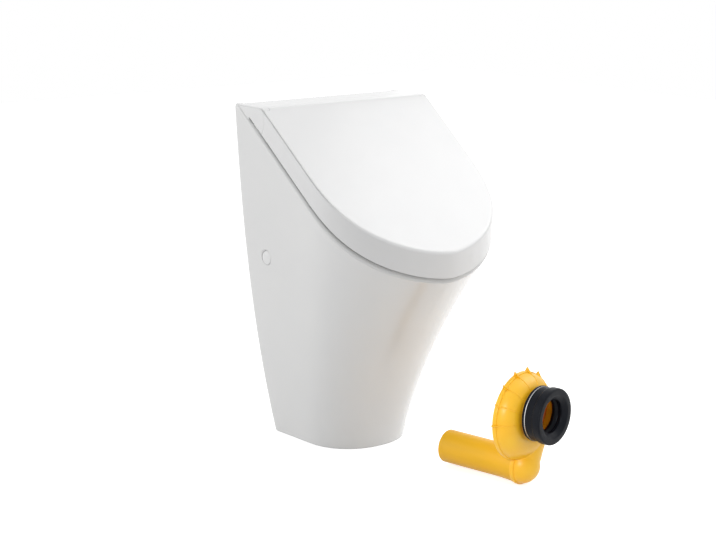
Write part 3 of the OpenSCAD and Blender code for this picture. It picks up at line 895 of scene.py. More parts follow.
class Urinal:
    """Builds the china, the lid, the hinge covers and the side caps."""

    ROWS = 56
    EDGE = 8
    LOW_EDGE = 3
    BOWL_STEPS = 96
    BOWL_ROWS = 30
    MOUTH_EASE = 0.2
    MOUTH_REAR = 6.0
    MOUTH_PROUD = 0.5
    FLOOR = (2.0, 2.0)
    FLOOR_REAR = 2.4
    FOOT_STRAIGHT = 0.45

    def __init__(self, sizes: Sizes) -> None:
        """Keeps the sizes and their outlines.

        Args:
            sizes: The urinal's sizes.
        """
        self.s = sizes
        self.o = Outline(sizes)

    def at_axis(self, x: float) -> Point:
        """Gives the point of the hinge axis at one place across the width."""
        return (x, -self.s.axis_y, self.s.axis_z)

    def skin(self) -> Workpiece:
        """Draws the china's outer skin from the rounded foot to the rim's rounded edge.

        Returns:
            The closed skin.
        """
        s = self.s
        top = self.o.rim(0.0)
        base = self.o.base(0.0)
        rows = []
        for up, inward in quarter(self.LOW_EDGE):
            z = s.foot_r * up
            row = []
            for (bx, by), (tx, ty) in zip(self.o.base(s.foot_r * inward), top):
                g = self.o.share(z / (s.rim_z(ty) - s.rim_r), ty)
                row.append((mix(bx, tx, g), mix(by, ty, g), z))
            rows.append(row)
        for k in range(1, self.ROWS + 1):
            row = []
            for (bx, by), (tx, ty) in zip(base, top):
                height = s.rim_z(ty) - s.rim_r
                z = mix(s.foot_r, height, k / self.ROWS)
                g = self.o.share(z / height, ty)
                row.append((mix(bx, tx, g), mix(by, ty, g), z))
            rows.append(row)
        for inward, down in quarter(self.EDGE, 1):
            plan = self.o.rim(s.rim_r * inward)
            rows.append([(x, y, s.rim_z(y) - s.rim_r * down) for x, y in plan])
        return Workpiece("china").loft(rows, False, True)

    def oval(self, half: float, rear: float, mid: float, front: float, power: Flat,
             rear_power: float) -> list[Flat]:
        """Draws an oval with different powers before and behind its widest line.

        Args:
            half: Half of its width.
            rear: Distance of its rear from the wall.
            mid: Distance of its widest line from the wall.
            front: Distance of its front from the wall.
            power: The two powers of its front.
            rear_power: The power of its rear.

        Returns:
            The oval's points.
        """
        points = []
        for i in range(self.BOWL_STEPS):
            a = math.pi / 2 + 2 * math.pi * (i + 0.5) / self.BOWL_STEPS
            c, t = math.cos(a), math.sin(a)
            ahead = t < 0
            x = half * math.copysign(abs(c) ** (2 / (power[0] if ahead else rear_power)), c)
            if ahead:
                y = -mid - (front - mid) * abs(t) ** (2 / power[1])
            else:
                y = -mid + (mid - rear) * abs(t) ** (2 / rear_power)
            points.append((x, y))
        return points

    def mouth(self, inset: float) -> list[Flat]:
        """Draws the bowl's mouth, moved in by a distance."""
        s = self.s
        power = (Outline.LID[0] + self.MOUTH_EASE, Outline.LID[1] - self.MOUTH_EASE)
        return self.oval(s.body_w / 2 - s.rim_w - inset, s.bowl_rear + inset, s.side_len,
                         s.mouth_front - inset, power, self.MOUTH_REAR)

    def bowl(self) -> Workpiece:
        """Draws the hollow of the bowl, with a rounded mouth.

        Returns:
            The closed hollow.
        """
        s = self.s
        mouth = self.mouth(0.0)
        rows = [[(x, y, s.body_h + 20) for x, y in self.mouth(-s.mouth_r)]]
        for along, inward in quarter(self.EDGE):
            drop = (s.mouth_r + self.MOUTH_PROUD) * along - self.MOUTH_PROUD
            rows.append([(x, y, s.rim_z(y) - drop) for x, y in self.mouth(-s.mouth_r * inward)])
        floor_front = s.base_d + 20
        floor = self.oval(s.floor_half, s.floor_rear, (floor_front + s.floor_rear) / 2,
                          floor_front, self.FLOOR, self.FLOOR_REAR)
        for k in range(1, self.BOWL_ROWS + 1):
            t = math.sin(math.pi / 2 * k / self.BOWL_ROWS)
            row = []
            for (mx, my), (fx, fy) in zip(mouth, floor):
                m = (-my - s.bowl_rear) / (s.mouth_front - s.bowl_rear)
                m = max(0.0, min(1.0, m))
                g = mix(1 - math.sqrt(max(0.0, 1 - t * t)), t ** 1.1, m * m)
                row.append((mix(mx, fx, g), mix(my, fy, g),
                            mix(s.rim_z(my) - s.mouth_r, s.sump_z, t)))
            rows.append(row)
        return Workpiece("bowl").loft(rows, False, False)

    def back(self) -> Workpiece:
        """Draws the space behind the bowl.

        Returns:
            The closed space.
        """
        s = self.s
        levels = ((s.sump_z - s.china_t - 2, s.low_y), (200, s.low_y), (280, s.back_y),
                  (380, s.back_y), (s.shelf_z - s.china_t, s.back_y))
        rows = []
        for z, deep in levels:
            w = s.wall_half(z) - s.flange_w
            half = [(-w, OVER, z)]
            half += [(-w + s.back_r * a, -deep + s.back_r * b, z) for a, b in quarter(6)]
            rows.append(half + [(-x, y, h) for x, y, h in reversed(half)])
        return Workpiece("back").loft(rows, False, False)

    def foot(self) -> Workpiece:
        """Draws the hollow of the foot.

        Returns:
            The closed space.
        """
        s = self.s
        near = self.FOOT_STRAIGHT
        levels, steps = 6, 12
        rows = []
        for k in range(levels + 1):
            z = mix(s.china_t, s.sump_z - s.china_t, k / levels)
            w = s.wall_half(z) - s.flange_w
            d = mix(s.base_d, s.body_d - s.rim_back,
                    Outline.front_share(z / s.rim_z(-s.body_d))) - s.china_t - 2
            half = [(-w, OVER, z), (-w, -d * near, z)]
            for i in range(1, steps + 1):
                a = math.pi / 2 * i / steps
                half.append((-w * math.cos(a), -d * (near + (1 - near) * math.sin(a)), z))
            rows.append(half + [(-x, y, h) for x, y, h in reversed(half[:-1])])
        return Workpiece("foot").loft(rows, False, False)

    def pocket(self) -> Workpiece:
        """Draws the level pocket under the hinge, with rounded corners.

        Returns:
            The closed space.
        """
        s = self.s
        half = [(-s.shelf_half, OVER)]
        half += [(-s.shelf_half + s.pocket_r * a, -s.shelf_front + s.pocket_r * b)
                 for a, b in quarter(8)]
        plan = half + [(-x, y) for x, y in reversed(half)]
        rows = [[(x, y, z) for x, y in plan] for z in (s.shelf_z, s.body_h + OVER)]
        return Workpiece("pocket").loft(rows, False, False)

    def bores(self) -> Workpiece:
        """Draws the round holes of the outlet, the inlet, the dampers and the hinge bolts.

        Returns:
            The rods that cut them.
        """
        s = self.s
        bores = Workpiece("bores")
        bores.rod((0, -s.floor_rear - 14, s.outlet_z), Axis.Y, s.spigot_bore / 2,
                  s.floor_rear + 14 - s.low_y + s.spigot_len + OVER)
        bores.rod((0, -s.bowl_rear - 6, s.inlet_z), Axis.Y, s.inlet_bore / 2, s.china_t + 12)
        end = s.cover_in + s.damper_l + 2 * s.slack
        for side in SIDES:
            bores.rod(self.at_axis(start_of(side, s.shelf_half - OVER, end)), Axis.X,
                      s.damper_d / 2 + s.slack, end - s.shelf_half + OVER)
            bores.rod((side * s.bolt_x, -s.bolt_y, s.shelf_z - s.china_t - OVER), Axis.Z,
                      s.bolt_d / 2 + 2, s.china_t + 2 * OVER, 32)
        return bores

    def side_seat(self) -> Workpiece:
        """Draws the stepped hole of a side fixing along +X, with a rounded edge.

        Returns:
            The turned form that cuts it.
        """
        s = self.s
        wide, narrow, end = s.cap_d / 2, s.bush_d / 2, -44
        profile = [(0, end), (narrow, end), (narrow, -s.cap_seat), (wide, -s.cap_seat),
                   (wide, -7.4), (wide + 0.5, -6.9), (wide + 1.4, -6.0), (wide + 4.4, 0.0),
                   (0, 0)]
        return Workpiece("seat").lathe(profile, (0, 0, 0), Axis.X, 64)

    def china(self) -> bpy.types.Object:
        """Builds the china body.

        Returns:
            The finished object.
        """
        s = self.s
        spigot = Workpiece("spigot").rod((0, -s.low_y - OVER, s.outlet_z), Axis.Y,
                                         s.spigot_d / 2, s.spigot_len + OVER)
        steps = [(self.back(), Join.CUT), (self.foot(), Join.CUT), (spigot, Join.UNITE),
                 (self.bowl(), Join.CUT), (self.pocket(), Join.CUT), (self.bores(), Join.CUT)]
        for side in SIDES:
            at = (side * (s.wall_half(s.side_z) + s.seat_out), -s.side_y, s.side_z)
            steps.append((self.side_seat().sided(side, at), Join.CUT))
        return self.skin().worked(steps).finish()

    def lid_skin(self, name: str) -> Workpiece:
        """Draws the outer skin of the lid with its fine line, solid down to the skirt's edge.

        Args:
            name: Name of the piece.

        Returns:
            The closed skin.
        """
        s = self.s
        rows = []
        for up, inward in quarter(self.LOW_EDGE):
            t = s.lip_r * inward
            rows.append([(x, y, s.skirt_z(y) + s.lip_r * up)
                         for x, y in self.o.lid(t, s.lid_rear + t)])
        for k, (inward, down) in enumerate(quarter(self.EDGE)):
            t = s.lid_r * inward
            row = [(x, y, s.lid_z(y) - s.lid_r * down) for x, y in self.o.lid(t, s.lid_rear + t)]
            if k == self.EDGE // 2:
                deeper = self.o.lid(t + 1, s.lid_rear + t + 1)
                dips = [s.line_depth(y) * math.sin(math.pi / 4) for _, y, _ in row]
                row = [(mix(x, dx, dip), mix(y, dy, dip), z - dip)
                       for (x, y, z), (dx, dy), dip in zip(row, deeper, dips)]
            rows.append(row)
        return Workpiece(name).loft(rows, True, True)

    def rim_posts(self, lift: float, length: float, name: str) -> Workpiece:
        """Draws round posts that stand upright on the sloping rim.

        Args:
            lift: Distance of their lower end above the rim.
            length: Their length.
            name: Name of the piece.

        Returns:
            The four posts.
        """
        s = self.s
        posts = Workpiece(name)
        inset = s.rim_w / 2 - 2
        half = s.body_w / 2 - inset
        depth = s.body_d - s.rim_back - inset
        lean = Matrix.Rotation(math.radians(s.rim_slope), 4, "X")
        rear = s.side_len * 8 / 9
        spots = [(half * (1 - Outline.TAPER * rear / depth), rear), self.front_spot(half, depth)]
        for side in SIDES:
            for x, y in spots:
                place = Matrix.Translation((side * x, -y, s.rim_z(-y))) @ lean
                posts.pillar(place, s.buffer_d / 2, length, 48, lift)
        return posts

    def front_spot(self, half: float, depth: float) -> Flat:
        """Gives the place of the front buffers on the rim's middle line.

        Args:
            half: Half of that line's width.
            depth: That line's depth.

        Returns:
            Distances from the middle and from the wall.
        """
        a = math.radians(90 * 12 / 16)
        straight = self.s.side_len
        across, along = Outline.LID
        y = straight + (depth - straight) * math.sin(a) ** (2 / along)
        x = half * (1 - Outline.TAPER * y / depth) * math.cos(a) ** (2 / across)
        return (x, y)

    def lid_hollow(self) -> Workpiece:
        """Draws the space inside the lid, with a rounded inner edge.

        Returns:
            The closed space.
        """
        s = self.s
        plan = self.o.lid(s.skirt_t, s.lid_rear + s.skirt_t)
        rows = [[(x, y, s.lid_z(y) - s.skirt_h - 2) for x, y in plan]]
        for inward, down in quarter(4):
            t = s.skirt_t + s.lid_in_r * inward
            rows.append([(x, y, s.lid_z(y) - s.plate_t - s.lid_in_r * down)
                         for x, y in self.o.lid(t, s.lid_rear + t)])
        return Workpiece("hollow").loft(rows, True, True)

    def lug_profile(self) -> list[Flat]:
        """Draws a lug's outline about the hinge axis, up into the lid's plate.

        Returns:
            Its (y, z) points.
        """
        s = self.s
        steps = 24
        profile = []
        for k in range(steps + 1):
            a = math.radians(180 + 180 * k / steps)
            profile.append((-s.axis_y + s.knuckle_r * math.cos(a),
                            s.axis_z + s.knuckle_r * math.sin(a)))
        high = s.axis_z + s.axis_drop - s.plate_t + 1
        return profile + [(-s.axis_y + s.knuckle_r, high), (-s.axis_y - s.knuckle_r, high)]

    def buffer_posts(self) -> Workpiece:
        """Draws the four posts above the buffers, cut off inside the lid's outer skin.

        Returns:
            The posts.
        """
        s = self.s
        upright = math.cos(math.radians(s.rim_slope))
        posts = self.rim_posts(s.lid_gap * upright + 2,
                               (s.skirt_h - s.plate_t) * upright - 1, "posts")
        return posts.combine(self.lid_skin("clip"), Join.KEEP)

    def lid(self) -> bpy.types.Object:
        """Builds the lid with its lugs and buffer posts.

        Returns:
            The finished object.
        """
        s = self.s
        lid_half = s.cover_in - 0.5
        width = s.body_w - lid_half
        rear = -s.lid_rear - s.skirt_t - OVER
        front = rear + s.skirt_t + 2 * OVER
        foot = s.body_h - s.skirt_h
        top = s.body_h - s.plate_t
        gap = Workpiece("gap").block((-s.body_w / 2, rear, foot - 2),
                                     (s.body_w / 2, front, top - 8))
        ends, cuts, gaps = Workpiece("ends"), Workpiece("cuts"), Workpiece("gaps")
        lugs, pins = Workpiece("lugs"), Workpiece("pins")
        for side in SIDES:
            end = start_of(side, lid_half, s.body_w)
            ends.rod(self.at_axis(end), Axis.X, s.cover_r + 0.4, width, 128)
            cuts.block((end, -s.axis_y, s.axis_z - 60), (end + width, OVER, s.axis_z + 40))
            start = start_of(side, s.lug_in - 10, s.body_w)
            gaps.block((start, rear, foot - 1), (start + s.body_w - s.lug_in + 10, front, top))
            lug = start_of(side, s.lug_in, s.lug_out)
            lugs.prism_x(self.lug_profile(), lug, lug + s.lug_w)
            pins.rod(self.at_axis(lug - OVER), Axis.X, s.pin_d / 2, s.lug_w + 2 * OVER, 48)
        steps = [(self.lid_hollow(), Join.CUT), (ends, Join.CUT), (cuts, Join.CUT),
                 (gap, Join.CUT), (gaps, Join.CUT), (lugs, Join.UNITE),
                 (self.buffer_posts(), Join.UNITE), (pins, Join.CUT)]
        return self.lid_skin("lid_shell").worked(steps).finish()

    def cover(self, side: int, name: str) -> bpy.types.Object:
        """Builds one hinge cover.

        Args:
            side: -1 for the left one, 1 for the right one.
            name: Name of the piece.

        Returns:
            The finished object.
        """
        s = self.s
        d = s.body_d
        foot = s.axis_y + 2
        start = start_of(side, s.cover_in, s.body_w)
        width = s.body_w - s.cover_in
        end = Workpiece("end").rod(self.at_axis(start), Axis.X, s.cover_r, width, 128)
        under = Workpiece("under").prism_x(
            [(OVER, s.body_h + s.slack + (s.rim_start + OVER) * s.rise),
             (-d, s.rim_z(-d) + s.slack * 1.3), (-d, 0), (OVER, 0)], -s.body_w, s.body_w)
        step = Workpiece("step").prism_x(
            [(-foot, s.rim_z(-foot) - 5), (-foot, s.rim_z(-foot) + s.lid_gap),
             (-d, s.rim_z(-d) + s.lid_gap), (-d, 0)], -s.body_w, s.body_w)
        round_r, past, above = 3.0, 2.0, 2.4
        at = (start, -foot - past, s.rim_z(-foot - past) + above)
        round_end = Workpiece("round_end").rod(at, Axis.X, round_r, width + 2 * OVER, 48)
        reach = s.damper_l + s.slack + OVER
        bore_at = self.at_axis(start_of(side, s.cover_in - OVER, s.cover_in - OVER + reach))
        bore = Workpiece("bore").rod(bore_at, Axis.X, s.damper_d / 2 + s.slack, reach)
        steps = [(end, Join.KEEP), (under, Join.CUT), (step, Join.CUT), (round_end, Join.CUT),
                 (bore, Join.CUT)]
        return self.lid_skin(name).worked(steps).finish()

    def side_caps(self) -> bpy.types.Object:
        """Builds the two domed caps over the side screws.

        Returns:
            The finished object.
        """
        s = self.s
        r = s.cap_d / 2 - 0.55
        face = s.wall_half(s.side_z) - 0.5
        inner = s.wall_half(s.side_z) + s.seat_out - s.cap_seat - face
        dome, edge, fall, wall, web = 0.75, 1.6, 1.4, 2.2, 3.2
        profile = [((r - edge) * k / 8, -dome * (k / 8) ** 2) for k in range(9)]
        profile += [(r - edge * inward, -dome - fall * along) for along, inward in quarter(5, 1)]
        profile += [(r, inner), (r - wall, inner), (r - wall, -web), (0.0, -web)]
        caps = Workpiece("side_caps")
        for side in SIDES:
            cap = Workpiece("cap").lathe(profile, (0, 0, 0), Axis.X, 64)
            caps.add(cap.sided(side, (side * face, -s.side_y, s.side_z)).bm)
        return caps.finish()


@dataclass(frozen=True)
class TrapSizes:
    """Sizes of the siphon trap in millimetres, as in the CAD source but with thinner fins."""

    x: float = 38.0
    y: float = -432.0
    z: float = 106.5
    turn: float = 10.0
    ring_r: float = 39.0
    tube_r: float = 25.5
    rear_depth: float = 10.0
    wall: float = 3.0
    pipe_r: float = 25.0
    pipe_len: float = 138.0
    drop: float = 78.0
    shift: float = 8.0
    bulb_r: float = 27.0
    collar_r: float = 32.0
    collar_end: float = 36.0
    collar_up: float = 10.0
    sleeve_r: float = 42.0
    sleeve_len: float = 31.0
    fins: int = 7
    fin_first: float = 29.0
    fin_step: float = 176.0 / 7
    fin_t: float = 1.8
    seam_out: float = 1.5
    seam_t: float = 7.0
    edge: float = 1.4
    fin_out: float = 8.0
    fin_sink: float = 0.6
    fin_edge: float = 0.5
    vent_r: float = 20.0

    @property
    def sleeve_start(self) -> float:
        """Distance of the sleeve's rear edge from the seam."""
        return self.collar_end - 6

    @property
    def place(self) -> Matrix:
        """Place and turn of the trap on the floor."""
        turn = Matrix.Rotation(math.radians(self.turn), 4, "Z")
        return Matrix.Translation((self.x, self.y, self.z)) @ turn


class Trap:
    """Builds the siphon trap about its own seam, whose normal runs along Y."""

    GRAIN = 0.9
    ROUNDS = 14

    def __init__(self, sizes: TrapSizes) -> None:
        """Keeps the trap's sizes.

        Args:
            sizes: The trap's sizes.
        """
        self.t = sizes
        a = math.radians(24)
        self.drop_from = (sizes.ring_r * math.cos(a), -sizes.ring_r * math.sin(a))
        self.drop_to = (sizes.shift, -sizes.drop)

    def drop_place(self) -> tuple[Matrix, float]:
        """Gives the place and turn that lay +Z along the slanting drop, and its length."""
        run = Vector((self.drop_from[0] - self.drop_to[0], 0,
                      self.drop_from[1] - self.drop_to[1]))
        turn = Vector((0, 0, 1)).rotation_difference(run).to_matrix().to_4x4()
        return Matrix.Translation((self.drop_to[0], 0, self.drop_to[1])) @ turn, run.length

    def flattened(self) -> Matrix:
        """Gives the stretch along Y that makes the rear half flat."""
        return Matrix.Diagonal((1.0, self.t.rear_depth / self.t.tube_r, 1.0, 1.0))

    @staticmethod
    def away(front: bool) -> Point:
        """Gives the direction across the seam in which a half has nothing."""
        return (0, 1, 0) if front else (0, -1, 0)

    def moulding(self, name: str, front: bool) -> Workpiece:
        """Draws the ring, the drop, the bulb and the collar as one moulded skin.

        Args:
            name: Name of the piece.
            front: True for the front shell.

        Returns:
            The moulded skin, cut at the seam.
        """
        t = self.t
        form = Workpiece(name)
        tube = []
        for k in range(48):
            a = 2 * math.pi * k / 48
            tube.append((t.ring_r + t.tube_r * math.cos(a), t.tube_r * math.sin(a)))
        form.lathe(tube, (0, 0, 0), Axis.Y, 128)
        place, length = self.drop_place()
        form.pillar(place, t.tube_r - 1, length, 96)
        bmesh.ops.create_uvsphere(form.bm, u_segments=64, v_segments=40, radius=t.bulb_r,
                                  matrix=Matrix.Translation((t.shift, 0, -t.drop)))
        if front:
            form.rod((0, -t.collar_end, t.collar_up), Axis.Y, t.collar_r, t.collar_end, 128)
            bore = Workpiece("bore").rod((0, -t.collar_end - 2, t.collar_up), Axis.Y,
                                         t.collar_r - t.wall, t.collar_end, 128)
        else:
            form.moved(self.flattened())
            form.rod((0, 0, 0), Axis.Y, t.ring_r, 6, 96)
            bore = Workpiece("bore").rod((t.shift, 8, -t.drop), Axis.Y,
                                         t.pipe_r - t.wall, 40, 96)
        form.melt(self.GRAIN, self.ROUNDS)
        return form.combine(bore, Join.CUT).keep_side(self.away(front))

    def seam(self, start: float, end: float) -> Workpiece:
        """Draws the flat seam flange round the ring, the drop and the bulb.

        Args:
            start: Where it starts along Y.
            end: Where it ends along Y.

        Returns:
            The flange.
        """
        t = self.t
        size = end - start
        plate = Workpiece("seam").rod((0, start, 0), Axis.Y, t.ring_r + t.tube_r + t.seam_out,
                                      size, 160)
        plate.combine(Workpiece("bulb").rod((t.shift, start, -t.drop), Axis.Y,
                                            t.bulb_r + t.seam_out, size, 96), Join.UNITE)
        place, length = self.drop_place()
        w = t.tube_r - 1 + t.seam_out
        arm = Workpiece("arm").block((-w, start, 0), (w, end, length)).moved(place)
        return plate.combine(arm, Join.UNITE)

    def fin(self, degrees: float, front: bool) -> Workpiece:
        """Draws one half of a thin fin across the tube, pointed at the seam.

        Args:
            degrees: Its place round the ring.
            front: True for the front half.

        Returns:
            The half fin.
        """
        t = self.t
        r = t.tube_r + t.fin_sink
        steps, gap = 40, 22
        outline = [(t.tube_r + t.fin_out, 0.0)]
        for k in range(steps + 1):
            a = math.radians(gap + (360 - 2 * gap) * k / steps)
            outline.append((r * math.cos(a), r * math.sin(a)))
        fin = Workpiece("fin").prism([(t.ring_r + u, v, -t.fin_t / 2) for u, v in outline],
                                     (0, 0, t.fin_t))
        fin.bevel(fin.sharp_edges(), t.fin_edge, 2)
        fin.moved(Matrix.Rotation(-math.radians(degrees), 4, "Y"))
        if not front:
            fin.moved(self.flattened())
        return fin.keep_side(self.away(front))

    def shell(self, name: str, front: bool) -> bpy.types.Object:
        """Builds one half of the trap.

        Args:
            name: Name of the piece.
            front: True for the front shell.

        Returns:
            The finished object.
        """
        t = self.t
        form = self.moulding(name, front)
        start, end = (-t.seam_t / 2, 0.0) if front else (0.0, t.seam_t / 2)
        outer = start if front else end
        flange = self.seam(start, end)
        edges = [e for e in flange.sharp_edges()
                 if abs(sum(v.co.y for v in e.verts) / 2 - outer) < 0.01]
        flange.bevel(edges, t.edge, 4)
        if front:
            hole = Workpiece("hole").rod((0, -5, t.collar_up), Axis.Y, t.vent_r, 3, 64)
            flange.combine(hole, Join.CUT)
        form.add(flange.bm)
        for i in range(t.fins):
            form.add(self.fin(t.fin_first + i * t.fin_step, front).bm)
        return form.moved(t.place).finish(sharp=40.0)

    def turned(self, name: str, profile: Sequence[Flat], middle: Flat) -> bpy.types.Object:
        """Builds a turned part of the trap.

        Args:
            name: Name of the piece.
            profile: Its points as (radius, distance along Y from the seam).
            middle: Place of its axis from the ring's middle, across and up.

        Returns:
            The finished object.
        """
        part = Workpiece(name).lathe(profile, (middle[0], 0, middle[1]), Axis.Y, 128)
        return part.moved(self.t.place).finish(sharp=50.0)

    def sleeve(self) -> bpy.types.Object:
        """Builds the rubber sleeve with its flange, rim and stepped lips.

        Returns:
            The finished object.
        """
        t = self.t
        r, n = t.sleeve_r, t.sleeve_len
        step = t.collar_end - t.sleeve_start
        outline = [
            (t.collar_r + 0.1, 0.0), (r - 2, 0.0), (r - 1, 1.0), (r - 1, 4.0), (r - 1.6, 4.5),
            (r - 3, 4.5), (r - 3, 5.5), (r - 1.8, 5.5), (r - 1.6, 6.5), (r - 2.4, n - 15.5),
            (r - 2.2, n - 13.6), (r - 0.4, n - 12.3), (r, n - 11.3), (r, n - 2.4),
            (r - 0.7, n - 0.7), (r - 2.4, n), (33.0, n), (31.4, n - 0.5), (26.0, n - 4.8),
            (24.9, n - 6), (24.6, n - 9), (28.0, n - 12), (28.0, n - 15), (24.4, n - 18),
            (24.4, n - 21), (27.0, step), (t.collar_r + 0.1, step)]
        profile = [(a, -(t.sleeve_start + b)) for a, b in soften(outline, 2, 0.2)]
        return self.turned("sleeve", profile, (0.0, t.collar_up))

    def pipe(self) -> bpy.types.Object:
        """Builds the outlet pipe, a little wider towards the seam, with a rounded end.

        Returns:
            The finished object.
        """
        t = self.t
        r, inner, end = t.pipe_r, t.pipe_r - t.wall, t.pipe_len
        wider, start, long = 2.2, 1.4, 40.0
        flare = [(r + wider * (1 - k / 8) ** 2, start + long * k / 8) for k in range(8)]
        outline = flare + [
            (r, start + long), (r, end - 1.6), (r - 0.5, end - 0.5), (r - 1.5, end),
            (inner + 0.6, end), (inner, end - 0.8), (inner, start)]
        return self.turned("outlet_pipe", outline, (t.shift, -t.drop))


class Value:
    """One socket of a node tree. The operators on it add Math nodes."""

    def __init__(self, nodes: "Nodes", socket: bpy.types.NodeSocket) -> None:
        """Keeps the socket and the nodes that it belongs to."""
        self.nodes = nodes
        self.socket = socket

    def __or__(self, other: "Value | float") -> "Value":
        """Gives the larger of two values, which joins two masks."""
        return self.nodes.value("ShaderNodeMath", 0, {0: self, 1: other}, operation="MAXIMUM")

    __ror__ = __or__


class Nodes:
    """Adds nodes to one node tree."""

    def __init__(self, tree: bpy.types.NodeTree) -> None:
        """Keeps the tree."""
        self.tree = tree

    def put(self, target: bpy.types.NodeSocket, value: object) -> None:
        """Links a value to an input, or sets a number, colour or vector there."""
        if isinstance(value, Value):
            self.tree.links.new(value.socket, target)
        else:
            target.default_value = value

    def node(self, kind: str, links: dict | None = None, **settings: object) -> bpy.types.Node:
        """Adds a node.

        Args:
            kind: Blender's name of the node type.
            links: What goes to its inputs, by name or number.
            settings: Properties of the node, which are set first.

        Returns:
            The node.
        """
        made = self.tree.nodes.new(kind)
        for key, value in settings.items():
            setattr(made, key, value)
        for key, value in (links or {}).items():
            self.put(made.inputs[key], value)
        return made

    def value(self, kind: str, output: int | str, links: dict | None = None,
              **settings: object) -> Value:
        """Adds a node and gives one of its outputs.

        Args:
            kind: Blender's name of the node type.
            output: Name or number of the output.
            links: What goes to its inputs, by name or number.
            settings: Properties of the node, which are set first.

        Returns:
            The value of that output.
        """
        return Value(self, self.node(kind, links, **settings).outputs[output])

    def looked_at(self) -> Value:
        """Gives 1 for what the camera sees, straight, mirrored or through something clear."""
        path = self.node("ShaderNodeLightPath").outputs
        camera, glossy, clear = (Value(self, path[f"Is {ray} Ray"])
                                 for ray in ("Camera", "Glossy", "Transmission"))
        return camera | glossy | clear


@dataclass(frozen=True)
class Pattern:
    """A soft random pattern: cells for each metre, finer layers, and a stretch if any."""

    scale: float
    detail: float
    stretch: Point | None = None


class Shader(Nodes):
    """Builds the node tree of one material."""

    LOW = 0.3
    HIGH = 0.7

    def __init__(self, name: str, color: Point, roughness: float,
                 uniform: dict[str, float]) -> None:
        """Makes a material with one Principled shader.

        Args:
            name: Name of the material.
            color: Its base colour, linear.
            roughness: Its roughness.
            uniform: Values that are the same all over, by the shader's inputs.
        """
        self.material = bpy.data.materials.new(name)
        self.material.use_nodes = True
        super().__init__(self.material.node_tree)
        self.main = self.tree.nodes["Principled BSDF"]
        self.color = color
        self.feed("Base Color", (*color, 1.0))
        self.feed("Roughness", roughness)
        for key, value in uniform.items():
            self.feed(key, value)
        self.place = self.value("ShaderNodeTexCoord", "Object")

    def feed(self, key: str, value: object) -> None:
        """Links or sets one input of the Principled shader."""
        self.put(self.main.inputs[key], value)

    def noise(self, pattern: Pattern) -> Value:
        """Makes a soft random pattern, from 0 to 1."""
        place = self.place
        if pattern.stretch:
            place = self.value("ShaderNodeMapping", 0,
                               {"Vector": place, "Scale": pattern.stretch})
        return self.value("ShaderNodeTexNoise", "Fac", {"Vector": place, "Scale": pattern.scale,
                                                        "Detail": pattern.detail})

    def spread(self, pattern: Pattern, low: float, high: float) -> Value:
        """Maps the usual reach of a random pattern to a range.

        Args:
            pattern: The pattern.
            low: What its lower values become.
            high: What its upper values become.

        Returns:
            The mapped pattern.
        """
        return self.value("ShaderNodeMapRange", "Result",
                          {"Value": self.noise(pattern), "From Min": self.LOW,
                           "From Max": self.HIGH, "To Min": low, "To Max": high})

    def blend(self, share: Value, first: Point, second: Point) -> Value:
        """Mixes two colours.

        Args:
            share: The share of the second one.
            first: The first colour.
            second: The second colour.

        Returns:
            The mixed colour.
        """
        return self.value("ShaderNodeMix", 2, {0: share, 6: (*first, 1.0), 7: (*second, 1.0)},
                          data_type="RGBA")

    def bump(self, pattern: Pattern, depth: float) -> None:
        """Raises the surface by a pattern, on top of any bump that is there.

        Args:
            pattern: The pattern.
            depth: Height in metres of its full range.
        """
        links = {"Height": self.noise(pattern), "Distance": depth, "Strength": 1.0}
        before = self.main.inputs["Normal"].links
        if before:
            links["Normal"] = Value(self, before[0].from_socket)
        self.feed("Normal", self.value("ShaderNodeBump", "Normal", links))


@dataclass(frozen=True)
class Finish:
    """One finish: two colours and two roughnesses with their patterns, and fine relief."""

    name: str
    color: Point
    other: Point
    tint_by: Pattern
    roughness: float
    rough: Flat
    rough_by: Pattern
    bumps: tuple[tuple[Pattern, float], ...] = ()
    uniform: dict[str, float] = field(default_factory=dict)

    def tint(self, m: Shader) -> Value:
        """Gives the pattern that mixes the two colours."""
        return m.spread(self.tint_by, 0.0, 1.0)

    def make(self) -> Shader:
        """Makes the material.

        Returns:
            Its shader.
        """
        m = Shader(self.name, self.color, self.roughness, self.uniform)
        m.feed("Base Color", m.blend(self.tint(m), self.color, self.other))
        m.feed("Roughness", m.spread(self.rough_by, *self.rough))
        for pattern, depth in self.bumps:
            m.bump(pattern, depth)
        return m


class ZincFinish(Finish):
    """Zinc-plated steel, whose colour follows patches of crystals."""

    def tint(self, m: Shader) -> Value:
        """Gives the crystals in place of a soft pattern."""
        return m.value("ShaderNodeTexVoronoi", "Distance",
                       {"Vector": m.place, "Scale": self.tint_by.scale})


class FloorFinish(Finish):
    """The studio's pale floor, which looks white and keeps a faint shadow."""

    GLOW = (0.7, 0.7, 0.7)

    def make(self) -> Shader:
        """Makes the floor's material, which glows only where it is looked at.

        Returns:
            Its shader.
        """
        m = super().make()
        m.feed("Emission Color", m.blend(m.looked_at(), (0.0, 0.0, 0.0), self.GLOW))
        m.feed("Emission Strength", 1.0)
        return m


